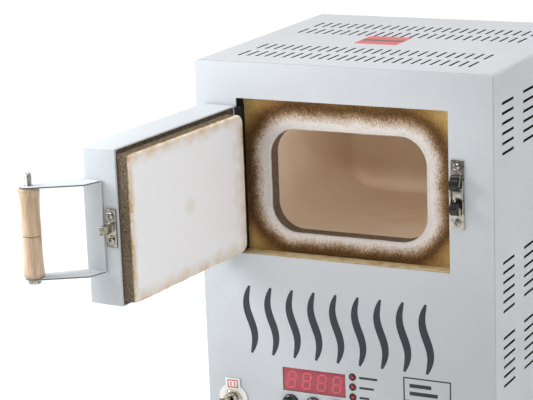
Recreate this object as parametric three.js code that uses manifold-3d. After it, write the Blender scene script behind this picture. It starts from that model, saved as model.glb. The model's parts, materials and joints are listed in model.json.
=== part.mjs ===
// A small front-loading bench kiln with a folded steel casing and a side-hung door, standing open.
// Millimetres, +X to the right, +Y to the back, +Z up. The origin is on the bench, under the centre of
// the base plate. Every height below is measured from the base plate's underside, and the last step
// stands the whole kiln on its four rubber feet. The front panel's face is the plane FRONT_Y.
import * as THREE from "three";
import { mergeVertices } from "three/addons/utils/BufferGeometryUtils.js";
import Module from "manifold-3d";

const wasm = await Module();
wasm.setup();

// ---- driving dimensions ----
const CASE_WIDTH = 238;
const CASE_DEPTH = 224;
const CASE_HEIGHT = 312;
const SHEET = 1.2; // casing sheet thickness
const GAP = 0.3; // clearance left between pieces that touch
const FOOT_HEIGHT = 12;
const FOOT_RADIUS = 11;
const FOOT_INSET = 24; // from the casing's sides to a foot's centre

const FRONT_Y = -CASE_DEPTH / 2;
const BACK_Y = CASE_DEPTH / 2;
const HALF_WIDTH = CASE_WIDTH / 2;
const INNER_HALF = HALF_WIDTH - SHEET;
const PANEL_THICK = 1.5; // front panel
const BEND_RADIUS = 2.4; // outside radius of the cover's folds

const OPENING_HALF = 85.15; // door opening in the front panel
const OPENING_BOTTOM = 163.8;
const OPENING_TOP = 284.6;
const LINER_RECESS = 11; // from the panel's face to the front board

const MOUTH_HALF = 63.3; // mouth cut through the front board
const MOUTH_BOTTOM = 180.5;
const MOUTH_TOP = 260.5;
const MOUTH_CORNER = 21;
const BOARD_THICK = 12.8;
const CHAMBER_HALF = 65.5;
const CHAMBER_BOTTOM = 179;
const CHAMBER_TOP = 262;
const CHAMBER_DEPTH = 144;
const MUFFLE_WALL = 20;
const SHIELD_Z = 132; // sheet that separates the hot part from the controls

const DOOR_OPEN_DEG = 94.1; // how far the door stands open, which is also as far as it goes
const HINGE_X = -82.78;
const HINGE_Y = FRONT_Y + 1.14;
const DOOR_LEFT = -78.8; // closed door, hinge end
const DOOR_WIDTH = 157.4;
const DOOR_BOTTOM = 166;
const DOOR_TOP = 279.3;
const DOOR_THICK = 27.5;
const DOOR_RIM_Y = FRONT_Y - 0.6; // closed door's inner rim
const PLUG_STANDS = 10.8; // how far the insulation stands out of the shell
const PLUG_CORNER = 7;

const LATCH_Z = 223.6; // height of the striker and of the roller catch
const ROLLER_RADIUS = 4.7;
const ROLLER_OFFSET = 8.9; // roller centres above and below the latch height
const ROLLER_Y = FRONT_Y - 6.6;
const CATCH_LEFT = 87.1;
const CATCH_WIDTH = 10.2;
const CATCH_HALF = 25.5;
const ARM_PIVOT_OFFSET = 12.2;
const ARM_PIVOT_Y = FRONT_Y - 2.3;

const ARM_TOP_Z = 256.4; // handle bracket's upper arm, top face
const ARM_BOTTOM_Z = 189.9; // lower arm, underside
const ARM_THICK = 1.2;
const GRIP_OUT = 32.4; // grip axis beyond the door's free edge
const GRIP_FORWARD = 50.7; // grip axis in front of the door's rim

const DISPLAY_LEFT = -54.1;
const DISPLAY_WIDTH = 52.9;
const DISPLAY_BOTTOM = 56.7;
const DISPLAY_HEIGHT = 19;
const LED_X = 4.8;
const LED_TOP_Z = 74.5;
const LED_PITCH = 8;
const BUTTON_X = -28.3; // middle one of the three
const BUTTON_PITCH = 19.4;
const BUTTON_Z = 47.5;
const BUTTON_RADIUS = 6.5;
const BUTTON_STANDS = 4.2;
const SWITCH_X = -97.5;
const SWITCH_Z = 44.6;
const LEVER_UP_DEG = 16; // the toggle's lever rests tilted up, which is on

const INLET_X = 62; // mains inlet on the back
const INLET_Z = 44;
const FUSE_X = 20;

// ---- materials ----
function material(color, roughness, metalness = 0) {
  return new THREE.MeshStandardMaterial({ color, roughness, metalness });
}
const powderCoat = material(0xd5dade, 0.55);
const doorCoat = material(0xcfd8de, 0.55);
const zincSheet = material(0xb4b8ba, 0.4, 0.9);
const nickel = material(0xc9c6bd, 0.25, 1);
const chrome = material(0xdadde0, 0.12, 1);
const steel = material(0x9a9c9e, 0.35, 1);
const blackSteel = material(0x1b1c1e, 0.5, 0.4);
const rubber = material(0x1a1a1c, 0.85);
const blackPlastic = material(0x111215, 0.2);
const darkPlastic = material(0x26282b, 0.6);
const redLens = material(0xa83a44, 0.2);
const ledRed = material(0x7a1414, 0.25);
const fibreBoard = material(0xcdb9a4, 0.95);
const muffleFibre = material(0xc9ab8b, 0.95);
const insulation = material(0xe6e2da, 0.95);
const doorBoard = material(0xe6e1dc, 0.95);
const beech = material(0xcfae86, 0.6);
const legendWhite = material(0xf0efeb, 0.5);
const circuitGreen = material(0x1f5a35, 0.6);
const copperWire = material(0xb06a3a, 0.4, 0.9);
const ceramic = material(0xf2eee4, 0.5);

// ---- shape helpers ----
function solid(geometry) {
  const bare = geometry.clone();
  bare.deleteAttribute("normal");
  bare.deleteAttribute("uv");
  const merged = mergeVertices(bare, 1e-4);
  return new wasm.Manifold(
    new wasm.Mesh({
      numProp: 3,
      vertProperties: new Float32Array(merged.attributes.position.array),
      triVerts: new Uint32Array(merged.index.array),
    }),
  );
}
function geometryOf(manifold) {
  const mesh = manifold.getMesh();
  const geometry = new THREE.BufferGeometry();
  geometry.setAttribute("position", new THREE.BufferAttribute(mesh.vertProperties, 3));
  geometry.setIndex(new THREE.BufferAttribute(mesh.triVerts, 1));
  const faceted = geometry.toNonIndexed();
  faceted.computeVertexNormals();
  return faceted;
}
function join(...pieces) {
  return pieces.reduce((sum, piece) => sum.add(piece));
}
function box(x0, x1, y0, y1, z0, z1) {
  const geometry = new THREE.BoxGeometry(x1 - x0, y1 - y0, z1 - z0);
  geometry.translate((x0 + x1) / 2, (y0 + y1) / 2, (z0 + z1) / 2);
  return solid(geometry);
}
const AXES = { x: [0, 0, -Math.PI / 2], y: [0, 0, 0], z: [Math.PI / 2, 0, 0] };
function cylinder(axis, radius, length, at, sides = 20, radiusEnd = radius) {
  // the cylinder's middle is at the given point; radiusEnd is its radius at the + end of the axis
  const geometry = new THREE.CylinderGeometry(radiusEnd, radius, length, sides);
  const [rx, ry, rz] = AXES[axis];
  geometry.rotateX(rx);
  geometry.rotateY(ry);
  geometry.rotateZ(rz);
  geometry.translate(...at);
  return solid(geometry);
}
function roundedRect(x0, x1, y0, y1, radius) {
  const shape = new THREE.Shape();
  shape.moveTo(x0 + radius, y0);
  shape.lineTo(x1 - radius, y0);
  shape.absarc(x1 - radius, y0 + radius, radius, -Math.PI / 2, 0, false);
  shape.lineTo(x1, y1 - radius);
  shape.absarc(x1 - radius, y1 - radius, radius, 0, Math.PI / 2, false);
  shape.lineTo(x0 + radius, y1);
  shape.absarc(x0 + radius, y1 - radius, radius, Math.PI / 2, Math.PI, false);
  shape.lineTo(x0, y0 + radius);
  shape.absarc(x0 + radius, y0 + radius, radius, Math.PI, 1.5 * Math.PI, false);
  return shape;
}
function polygon(points) {
  return new THREE.Shape(points.map(([x, y]) => new THREE.Vector2(x, y)));
}
function extrude(shape, depth, segments = 6) {
  return new THREE.ExtrudeGeometry(shape, { depth, bevelEnabled: false, curveSegments: segments });
}
function alongY(shape, y0, y1, segments) {
  // the shape lies in X and Z, and is extruded from y0 to y1
  const geometry = extrude(shape, y1 - y0, segments);
  geometry.rotateX(Math.PI / 2);
  geometry.translate(0, y1, 0);
  return solid(geometry);
}
function alongZ(shape, z0, z1, segments) {
  const geometry = extrude(shape, z1 - z0, segments);
  geometry.translate(0, 0, z0);
  return solid(geometry);
}
function lathe(profile, axis, at, sides = 24) {
  // the profile's points are radius and height, and start and end on the axis
  const points = profile.map(([r, h]) => new THREE.Vector2(r, h));
  const geometry = new THREE.LatheGeometry(points, sides);
  const [rx, ry, rz] = AXES[axis];
  geometry.rotateX(rx);
  geometry.rotateY(ry);
  geometry.rotateZ(rz);
  geometry.translate(...at);
  return solid(geometry);
}
function frameBetween(outer, inner, y0, y1) {
  // a rectangular ring; each box is x0, x1, z0, z1
  const [ox0, ox1, oz0, oz1] = outer;
  const [ix0, ix1, iz0, iz1] = inner;
  const hole = box(ix0, ix1, y0 - 1, y1 + 1, iz0, iz1);
  return box(ox0, ox1, y0, y1, oz0, oz1).subtract(hole);
}

const kiln = new THREE.Group();
const door = new THREE.Group();
kiln.add(door);
function piece(name, manifold, surface, parent = kiln) {
  const mesh = new THREE.Mesh(geometryOf(manifold), surface);
  mesh.name = name;
  parent.add(mesh);
  return mesh;
}

// ---- casing ----
// Vent slots are cut in rows through the cover's top and columns through its sides.
const TOP_SLOTS = 26;
const TOP_SLOT_PITCH = 7.46;
const TOP_SLOT_LENGTH = 21;
const TOP_ROW_STARTS = [26.6, 57.3, 131.2, 161.6]; // from the front face
const SLOT_WIDTH = 2.1;
const SIDE_COLUMNS = 4;
const SIDE_COLUMN_PITCH = 45.2;
const SIDE_SLOT_LENGTH = 24.5;
const SIDE_COLUMN_START = 19.3;
const SIDE_SLOT_PITCH = 7.4;
const SIDE_SLOTS_PER_GROUP = 6;
const SIDE_GROUP_TOPS = [287.8, 169.1, 111.4];

function ventSlots() {
  const slots = [];
  const across = SHEET + 2;
  for (const start of TOP_ROW_STARTS) {
    for (let i = 0; i < TOP_SLOTS; i++) {
      const slot = new THREE.BoxGeometry(SLOT_WIDTH, TOP_SLOT_LENGTH, across);
      const x = (i - (TOP_SLOTS - 1) / 2) * TOP_SLOT_PITCH - 2;
      slot.translate(x, FRONT_Y + start + TOP_SLOT_LENGTH / 2, CASE_HEIGHT - SHEET / 2);
      slots.push(solid(slot));
    }
  }
  for (const side of [-1, 1]) {
    for (const top of SIDE_GROUP_TOPS) {
      for (let row = 0; row < SIDE_SLOTS_PER_GROUP; row++) {
        for (let column = 0; column < SIDE_COLUMNS; column++) {
          const slot = new THREE.BoxGeometry(across, SIDE_SLOT_LENGTH, SLOT_WIDTH);
          const start = SIDE_COLUMN_START + column * SIDE_COLUMN_PITCH;
          const y = FRONT_Y + start + SIDE_SLOT_LENGTH / 2;
          slot.translate(side * (HALF_WIDTH - SHEET / 2), y, top - row * SIDE_SLOT_PITCH);
          slots.push(solid(slot));
        }
      }
    }
  }
  return wasm.Manifold.union(slots);
}
function coverProfile(half, top, radius) {
  const shape = new THREE.Shape();
  shape.moveTo(-half, 0);
  shape.lineTo(half, 0);
  shape.lineTo(half, top - radius);
  shape.absarc(half - radius, top - radius, radius, 0, Math.PI / 2, false);
  shape.lineTo(-half + radius, top);
  shape.absarc(-half + radius, top - radius, radius, Math.PI / 2, Math.PI, false);
  return shape;
}
const coverFrontY = FRONT_Y + PANEL_THICK + GAP;
const coverOutside = alongY(coverProfile(HALF_WIDTH, CASE_HEIGHT, BEND_RADIUS), coverFrontY, BACK_Y, 4);
const coverHollow = alongY(
  coverProfile(INNER_HALF, CASE_HEIGHT - SHEET, BEND_RADIUS - SHEET),
  coverFrontY - 1,
  BACK_Y + 1,
  4,
);
const belowCover = box(-INNER_HALF, INNER_HALF, coverFrontY - 1, BACK_Y + 1, -1, 5);
piece(
  "cover",
  coverOutside.subtract(coverHollow).subtract(belowCover).subtract(ventSlots()),
  powderCoat,
);

// The front panel is a tray: a flat face, a flange inside the cover, and a return round the opening.
const FLANGE_DEPTH = 13;
const FLANGE_GAP = 0.5; // lets the flange's square corners clear the cover's folds
const flangeHalf = INNER_HALF - FLANGE_GAP;
const flangeTop = CASE_HEIGHT - SHEET - FLANGE_GAP;
const behindFace = FRONT_Y + PANEL_THICK - 0.2;
const faceOutline = roundedRect(-HALF_WIDTH, HALF_WIDTH, 0, CASE_HEIGHT, 1.6);
const opening = [-OPENING_HALF, OPENING_HALF, OPENING_BOTTOM, OPENING_TOP];
const openingOutside = [
  -OPENING_HALF - SHEET,
  OPENING_HALF + SHEET,
  OPENING_BOTTOM - SHEET,
  OPENING_TOP + SHEET,
];
const panelBody = join(
  alongY(faceOutline, FRONT_Y, FRONT_Y + PANEL_THICK, 3),
  frameBetween(
    [-flangeHalf, flangeHalf, 2.2, flangeTop],
    [-flangeHalf + SHEET, flangeHalf - SHEET, 2.2 + SHEET, flangeTop - SHEET],
    behindFace,
    FRONT_Y + FLANGE_DEPTH,
  ),
  frameBetween(openingOutside, opening, behindFace, FRONT_Y + LINER_RECESS - GAP),
);
const throughPanel = [FRONT_Y - 1, FRONT_Y + PANEL_THICK + 1];
const panelHoles = [
  box(-OPENING_HALF, OPENING_HALF, ...throughPanel, OPENING_BOTTOM, OPENING_TOP),
  box(
    DISPLAY_LEFT,
    DISPLAY_LEFT + DISPLAY_WIDTH,
    ...throughPanel,
    DISPLAY_BOTTOM,
    DISPLAY_BOTTOM + DISPLAY_HEIGHT,
  ),
  cylinder("y", 6.2, 6, [SWITCH_X, FRONT_Y, SWITCH_Z]),
];
const ledPlaces = [0, 1, 2].map((i) => LED_TOP_Z - i * LED_PITCH);
const buttonPlaces = [-1, 0, 1].map((i) => BUTTON_X + i * BUTTON_PITCH);
for (const z of ledPlaces) panelHoles.push(cylinder("y", 2.6, 6, [LED_X, FRONT_Y, z], 14));
for (const x of buttonPlaces) {
  panelHoles.push(cylinder("y", BUTTON_RADIUS + GAP, 6, [x, FRONT_Y, BUTTON_Z], 24));
}
piece("front_panel", panelBody.subtract(wasm.Manifold.union(panelHoles)), powderCoat);

const backHalf = INNER_HALF - FLANGE_GAP;
const inletCut = box(INLET_X - 14.3, INLET_X + 14.3, BACK_Y - 4, BACK_Y + 1, INLET_Z - 10.8, INLET_Z + 10.8);
const fuseCut = cylinder("y", 6.6, 8, [FUSE_X, BACK_Y, INLET_Z]);
piece(
  "back_panel",
  box(-backHalf, backHalf, BACK_Y - SHEET - 0.5, BACK_Y - 0.5, 2.2, flangeTop)
    .subtract(inletCut)
    .subtract(fuseCut),
  powderCoat,
);
const baseFrontY = FRONT_Y + FLANGE_DEPTH + GAP;
const BASE_LIP = 14;
const baseOutline = polygon([
  [-backHalf, 0],
  [backHalf, 0],
  [backHalf, BASE_LIP],
  [backHalf - SHEET, BASE_LIP],
  [backHalf - SHEET, SHEET],
  [-backHalf + SHEET, SHEET],
  [-backHalf + SHEET, BASE_LIP],
  [-backHalf, BASE_LIP],
]);
piece("base_plate", alongY(baseOutline, baseFrontY, BACK_Y - 2.2), zincSheet);
piece(
  "heat_shield",
  box(-backHalf, backHalf, baseFrontY, BACK_Y - 2.2, SHIELD_Z, SHIELD_Z + SHEET),
  zincSheet,
);

const footProfile = [
  [0, 0],
  [FOOT_RADIUS - 1.5, 0],
  [FOOT_RADIUS - 0.4, 1.2],
  [FOOT_RADIUS, FOOT_HEIGHT - 1],
  [FOOT_RADIUS, FOOT_HEIGHT],
  [0, FOOT_HEIGHT],
];
for (const [side, x] of [["left", -HALF_WIDTH + FOOT_INSET], ["right", HALF_WIDTH - FOOT_INSET]]) {
  for (const [end, y] of [["front", FRONT_Y + FOOT_INSET], ["back", BACK_Y - FOOT_INSET]]) {
    piece(`foot_${end}_${side}`, lathe(footProfile, "z", [x, y, -GAP - FOOT_HEIGHT], 18), rubber);
  }
}

// ---- hot part ----
const boardFrontY = FRONT_Y + LINER_RECESS;
const boardBackY = boardFrontY + BOARD_THICK;
const mouth = roundedRect(-MOUTH_HALF, MOUTH_HALF, MOUTH_BOTTOM, MOUTH_TOP, MOUTH_CORNER);
piece(
  "front_board",
  box(-104, 104, boardFrontY, boardBackY, 148, 300).subtract(
    alongY(mouth, boardFrontY - 1, boardBackY + 1, 6),
  ),
  fibreBoard,
);

const muffleFrontY = boardBackY + GAP;
const chamberBackY = muffleFrontY + CHAMBER_DEPTH;
const muffleBackY = chamberBackY + MUFFLE_WALL;
const muffleHalf = CHAMBER_HALF + MUFFLE_WALL;
const muffleBottom = CHAMBER_BOTTOM - MUFFLE_WALL;
const muffleTop = CHAMBER_TOP + MUFFLE_WALL;
const chamber = roundedRect(-CHAMBER_HALF, CHAMBER_HALF, CHAMBER_BOTTOM, CHAMBER_TOP, MOUTH_CORNER + 1);
const probeHole = cylinder("y", 2.6, MUFFLE_WALL + 4, [0, muffleBackY - MUFFLE_WALL / 2, CHAMBER_TOP - 16]);
piece(
  "muffle",
  box(-muffleHalf, muffleHalf, muffleFrontY, muffleBackY, muffleBottom, muffleTop)
    .subtract(alongY(chamber, muffleFrontY - 1, chamberBackY, 6))
    .subtract(probeHole),
  muffleFibre,
);

// The heating coil winds round the muffle as one square-cornered spring of wire.
const coilHalfWidth = muffleHalf + 2.6;
const coilBottom = muffleBottom - 2.6;
const coilTop = muffleTop + 2.6;
const COIL_TURNS = 5;
const COIL_PITCH = 25;
const coilPoints = [];
for (let turn = 0; turn < COIL_TURNS; turn++) {
  const y = muffleFrontY + 16 + turn * COIL_PITCH;
  const quarter = COIL_PITCH / 4;
  coilPoints.push(new THREE.Vector3(-coilHalfWidth, y, coilBottom));
  coilPoints.push(new THREE.Vector3(-coilHalfWidth, y + quarter, coilTop));
  coilPoints.push(new THREE.Vector3(coilHalfWidth, y + 2 * quarter, coilTop));
  coilPoints.push(new THREE.Vector3(coilHalfWidth, y + 3 * quarter, coilBottom));
}
const WIRE_RADIUS = 1.3;
const coilRods = coilPoints.slice(1).map((end, i) => {
  const start = coilPoints[i];
  const along = new THREE.Vector3().subVectors(end, start);
  const rod = new THREE.CylinderGeometry(WIRE_RADIUS, WIRE_RADIUS, along.length() + WIRE_RADIUS, 5);
  rod.applyQuaternion(
    new THREE.Quaternion().setFromUnitVectors(new THREE.Vector3(0, 1, 0), along.clone().normalize()),
  );
  rod.translate(...start.clone().add(end).multiplyScalar(0.5).toArray());
  return solid(rod);
});
piece("heating_coil", wasm.Manifold.union(coilRods), copperWire);

// Insulation boards pack the space between the coil and the casing.
const WOOL_GAP = 4.6;
const woolBackY = muffleBackY + GAP;
piece(
  "insulation_bottom",
  box(-112, 112, muffleFrontY, woolBackY + 20, SHIELD_Z + SHEET + GAP, muffleBottom - WOOL_GAP),
  insulation,
);
piece(
  "insulation_top",
  box(-112, 112, muffleFrontY, woolBackY + 20, muffleTop + WOOL_GAP, CASE_HEIGHT - SHEET - 2),
  insulation,
);
for (const [name, side] of [["left", -1], ["right", 1]]) {
  const inner = side * (muffleHalf + WOOL_GAP);
  const outer = side * 112;
  const low = muffleBottom - WOOL_GAP + GAP;
  const high = muffleTop + WOOL_GAP - GAP;
  const wall = box(Math.min(inner, outer), Math.max(inner, outer), muffleFrontY, woolBackY + 20, low, high);
  piece(`insulation_${name}`, wall, insulation);
}
const rearHalf = muffleHalf + WOOL_GAP - GAP;
const probeY = woolBackY + 10;
piece(
  "insulation_rear",
  box(-rearHalf, rearHalf, woolBackY, woolBackY + 20, muffleBottom - WOOL_GAP + GAP, muffleTop + WOOL_GAP - GAP)
    .subtract(cylinder("y", 2.6, 30, [0, probeY, CHAMBER_TOP - 16])),
  insulation,
);
piece(
  "thermocouple",
  join(
    cylinder("y", 2, 50, [0, chamberBackY + 20, CHAMBER_TOP - 16], 12),
    box(-9, 9, woolBackY + 20 + GAP, woolBackY + 30, CHAMBER_TOP - 24, CHAMBER_TOP - 8),
  ),
  ceramic,
);

// ---- controls ----
const lensY = [FRONT_Y + 0.5, FRONT_Y + 3];
piece(
  "display_lens",
  box(
    DISPLAY_LEFT + GAP,
    DISPLAY_LEFT + DISPLAY_WIDTH - GAP,
    ...lensY,
    DISPLAY_BOTTOM + GAP,
    DISPLAY_BOTTOM + DISPLAY_HEIGHT - GAP,
  ),
  redLens,
);
piece(
  "display_module",
  box(-53.5, -1.8, FRONT_Y + 3.3, FRONT_Y + 11.7, DISPLAY_BOTTOM, DISPLAY_BOTTOM + DISPLAY_HEIGHT),
  darkPlastic,
);
const boardY = FRONT_Y + 12;
const tactSwitches = buttonPlaces.map((x) =>
  box(x - 3, x + 3, FRONT_Y + 8.6, boardY + 0.2, BUTTON_Z - 3, BUTTON_Z + 3),
);
const standoffs = [-66, 22].flatMap((x) =>
  [37.5, 82].map((z) => cylinder("y", 2.2, 10.4, [x, FRONT_Y + 6.9, z], 10)),
);
piece(
  "control_board",
  join(box(-72, 28, boardY, boardY + 1.6, 33, 86), ...tactSwitches, ...standoffs),
  circuitGreen,
);
ledPlaces.forEach((z, i) => {
  const profile = [[0, 0], [2.9, 0], [2.9, 1], [2.3, 1], [2.3, 3.6], [1.8, 4.6], [0.9, 5.2], [0, 5.3]];
  // the dome points forward, so the profile's height runs towards -Y
  const led = lathe(profile, "y", [0, 0, 0], 14).rotate([180, 0, 0]);
  piece(`led_${i + 1}`, led.translate([LED_X, FRONT_Y + 4.2, z]), ledRed);
});
buttonPlaces.forEach((x, i) => {
  const r = BUTTON_RADIUS;
  const profile = [[0, 0], [2.4, 0], [2.4, 3.4], [r + 1.2, 3.4], [r + 1.2, 4.6], [r, 4.6], [r, 9]];
  for (const t of [0.25, 0.5, 0.75]) {
    const angle = (t * Math.PI) / 2;
    profile.push([r * Math.cos(angle), 9 + 2 * Math.sin(angle)]);
  }
  profile.push([0, 11]);
  const button = lathe(profile, "y", [0, 0, 0], 18).rotate([180, 0, 0]);
  piece(
    `button_${i + 1}`,
    button.translate([x, FRONT_Y + 11 - BUTTON_STANDS, BUTTON_Z]),
    blackPlastic,
  );
});

// The toggle switch: body behind the panel, threaded bush through it, nut and bat lever in front.
const bush = cylinder("y", 5.9, 15, [SWITCH_X, FRONT_Y + 1, SWITCH_Z], 20);
const leverRoom = cylinder("y", 3.7, 16, [SWITCH_X, FRONT_Y - 5, SWITCH_Z], 16);
piece(
  "switch_body",
  join(
    box(SWITCH_X - 7, SWITCH_X + 7, FRONT_Y + 2.4, FRONT_Y + 20, SWITCH_Z - 14, SWITCH_Z + 14),
    bush,
  ).subtract(leverRoom),
  steel,
);
function keyhole() {
  const shape = new THREE.Shape();
  const discRadius = 12.4;
  const tabHalf = 6.3;
  const tabTop = SWITCH_Z + 16.6;
  const meeting = Math.acos(tabHalf / discRadius);
  shape.absarc(SWITCH_X, SWITCH_Z, discRadius, Math.PI - meeting, 2 * Math.PI + meeting, false);
  shape.lineTo(SWITCH_X + tabHalf, tabTop);
  shape.lineTo(SWITCH_X - tabHalf, tabTop);
  return shape;
}
piece(
  "switch_legend_plate",
  alongY(keyhole(), FRONT_Y - 1.1, FRONT_Y - 0.3, 12).subtract(
    cylinder("y", 6.2, 6, [SWITCH_X, FRONT_Y, SWITCH_Z]),
  ),
  legendWhite,
);
piece(
  "switch_nut",
  cylinder("y", 8, 2.4, [SWITCH_X, FRONT_Y - 2.6, SWITCH_Z], 6).subtract(
    cylinder("y", 6.2, 6, [SWITCH_X, FRONT_Y - 2.6, SWITCH_Z]),
  ),
  chrome,
);
const LEVER_PIVOT_Y = FRONT_Y - 1.5;
const leverProfile = [
  [0, -3],
  [1.6, -2.6],
  [2.7, -1],
  [2.7, 1],
  [1.7, 3],
  [1.7, 5],
  [2.9, 18],
  [2.4, 19.4],
  [0, 20],
];
const lever = lathe(leverProfile, "y", [0, 0, 0], 16).rotate([180 - LEVER_UP_DEG, 0, 0]);
piece("switch_lever", lever.translate([SWITCH_X, LEVER_PIVOT_Y, SWITCH_Z]), chrome);

// Power side, on the base plate and the back panel.
piece("relay", box(34, 84, -10, 30, SHEET + 0.6, 40), darkPlastic);
const terminalWells = [0, 1, 2, 3].map((i) => box(-66 + i * 13, -58 + i * 13, 40, 58, 18, 24));
piece(
  "terminal_block",
  box(-70, -15, 38, 60, SHEET + 0.6, 22).subtract(wasm.Manifold.union(terminalWells)),
  ceramic,
);
const inletMouth = box(INLET_X - 12, INLET_X + 12, BACK_Y - 13, BACK_Y + 5, INLET_Z - 8, INLET_Z + 8);
const pinPlaces = [[-7, -2], [0, 3], [7, -2]];
const inletPins = pinPlaces.map(([dx, dz]) =>
  box(INLET_X + dx - 1, INLET_X + dx + 1, BACK_Y - 14, BACK_Y - 3.6, INLET_Z + dz - 2.4, INLET_Z + dz + 2.4),
);
piece(
  "power_inlet",
  join(
    box(INLET_X - 14, INLET_X + 14, BACK_Y - 16, BACK_Y, INLET_Z - 10.5, INLET_Z + 10.5),
    box(INLET_X - 25, INLET_X + 25, BACK_Y - 0.2, BACK_Y + 2.6, INLET_Z - 13, INLET_Z + 13),
  )
    .subtract(inletMouth)
    .add(wasm.Manifold.union(inletPins)),
  blackPlastic,
);
piece(
  "fuse_holder",
  join(
    cylinder("y", 6.3, 24, [FUSE_X, BACK_Y - 10, INLET_Z]),
    cylinder("y", 8.4, 3, [FUSE_X, BACK_Y + 1.4, INLET_Z], 20, 7.6),
    cylinder("y", 5.6, 4, [FUSE_X, BACK_Y + 4.6, INLET_Z], 20, 5.2),
  ),
  blackPlastic,
);

// ---- screws ----
function panScrew(name, axisAngle, at, surface, parent = kiln, radius = 2.7) {
  // a pan head with a cross recess, its top facing -Y before it is turned about Z by axisAngle
  const profile = [[0, 0], [radius, 0], [radius, 0.7], [radius * 0.8, 1.5], [radius * 0.4, 1.8], [0, 1.85]];
  const recess = join(box(-0.45, 0.45, 1, 3, -1.5, 1.5), box(-1.5, 1.5, 1, 3, -0.45, 0.45));
  const head = lathe(profile, "y", [0, 0, 0], 10).subtract(recess).rotate([180, 0, 0]);
  return piece(name, head.rotate([0, 0, axisAngle]).translate(at), surface, parent);
}
const SCREW_HEIGHTS = [10, 300];
for (const [side, x] of [["left", -104], ["right", 104]]) {
  SCREW_HEIGHTS.forEach((z, i) => {
    const level = i ? "upper" : "lower";
    panScrew(`back_screw_${level}_${side}`, 180, [x, BACK_Y - 0.2, z], steel);
  });
}

// ---- roller catch ----
const catchRight = CATCH_LEFT + CATCH_WIDTH;
const catchFace = FRONT_Y - GAP;
const cheekZ = [LATCH_Z - ARM_PIVOT_OFFSET - 2, LATCH_Z + ARM_PIVOT_OFFSET + 2];
const pivotZ = [LATCH_Z - ARM_PIVOT_OFFSET, LATCH_Z + ARM_PIVOT_OFFSET];
const pivotBores = pivotZ.map((z) => cylinder("x", 0.9, 20, [92.6, ARM_PIVOT_Y, z], 10));
piece(
  "catch_plate",
  join(
    box(CATCH_LEFT, catchRight, catchFace - 1, catchFace, LATCH_Z - CATCH_HALF, LATCH_Z + CATCH_HALF),
    box(CATCH_LEFT, CATCH_LEFT + 0.9, catchFace - 3.4, catchFace - 0.5, ...cheekZ),
    box(catchRight - 0.9, catchRight, catchFace - 3.4, catchFace - 0.5, ...cheekZ),
    box(CATCH_LEFT + 2, catchRight - 1.2, catchFace - 2.4, catchFace - 0.5, LATCH_Z - 3.4, LATCH_Z + 3.4),
  ).subtract(wasm.Manifold.union(pivotBores)),
  nickel,
);
for (const [name, up] of [["upper", 1], ["lower", -1]]) {
  const axleZ = LATCH_Z + up * ROLLER_OFFSET;
  const pivot = LATCH_Z + up * ARM_PIVOT_OFFSET;
  // each side strip runs from the pivot to the roller's axle
  const strip = [
    [ARM_PIVOT_Y + 0.6, pivot - up * 1.2],
    [ARM_PIVOT_Y + 0.6, pivot + up * 1.6],
    [ROLLER_Y + 1, axleZ + up * (ROLLER_RADIUS + 1.4)],
    [ROLLER_Y - 1.6, axleZ + up * 1.4],
    [ROLLER_Y - 1.6, axleZ - up * 1.4],
  ];
  const outline = polygon(up > 0 ? strip.reverse() : strip);
  const cheek = (x) => {
    const geometry = extrude(outline, 0.7);
    geometry.applyMatrix4(
      new THREE.Matrix4().makeBasis(
        new THREE.Vector3(0, 1, 0),
        new THREE.Vector3(0, 0, 1),
        new THREE.Vector3(1, 0, 0),
      ),
    );
    geometry.translate(x, 0, 0);
    return solid(geometry);
  };
  const bridgeZ = axleZ + up * (ROLLER_RADIUS + 0.9);
  piece(
    `catch_arm_${name}`,
    join(
      cheek(88.4),
      cheek(95.4),
      cylinder("x", 0.95, 7.4, [92.25, ROLLER_Y, axleZ], 10),
      cylinder("x", 0.6, 8.8, [92.25, ARM_PIVOT_Y, pivot], 8),
      box(88.4, 96.1, ROLLER_Y + 0.6, ARM_PIVOT_Y, bridgeZ - 0.35, bridgeZ + 0.35),
    ),
    nickel,
  );
  piece(
    `catch_roller_${name}`,
    cylinder("x", ROLLER_RADIUS, 5.9, [92.25, ROLLER_Y, axleZ], 20).subtract(
      cylinder("x", 1.25, 8, [92.25, ROLLER_Y, axleZ], 10),
    ),
    rubber,
  );
  panScrew(`catch_screw_${name}`, 0, [91.9, catchFace - 1.3, LATCH_Z + up * 20.8], steel);
}

// ---- hinge ----
// A narrow piano hinge: one leaf on the opening's left jamb, one on the door's end, one pin.
const KNUCKLE_RADIUS = 2;
const KNUCKLES = 7;
const hingeLow = DOOR_BOTTOM + 1.5;
const hingeHigh = DOOR_TOP - 1.5;
const knucklePitch = (hingeHigh - hingeLow) / KNUCKLES;
const pinBore = cylinder("z", 1.15, CASE_HEIGHT, [HINGE_X, HINGE_Y, CASE_HEIGHT / 2], 12);
function knuckles(first) {
  const rings = [];
  for (let i = first; i < KNUCKLES; i += 2) {
    const z = hingeLow + (i + 0.5) * knucklePitch;
    rings.push(cylinder("z", KNUCKLE_RADIUS, knucklePitch - 0.4, [HINGE_X, HINGE_Y, z], 12));
  }
  return rings;
}
function otherKnucklesRoom(first) {
  const rooms = [];
  for (let i = first; i < KNUCKLES; i += 2) {
    const z = hingeLow + (i + 0.5) * knucklePitch;
    rooms.push(cylinder("z", KNUCKLE_RADIUS + 0.35, knucklePitch + 0.01, [HINGE_X, HINGE_Y, z], 12));
  }
  return wasm.Manifold.union(rooms);
}
const jambLeafX = -OPENING_HALF + 0.35;
piece(
  "hinge_jamb_leaf",
  box(jambLeafX, jambLeafX + 1, HINGE_Y, FRONT_Y + LINER_RECESS - 0.5, hingeLow, hingeHigh)
    .subtract(otherKnucklesRoom(1))
    .add(wasm.Manifold.union(knuckles(0)))
    .subtract(pinBore),
  blackSteel,
);
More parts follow.
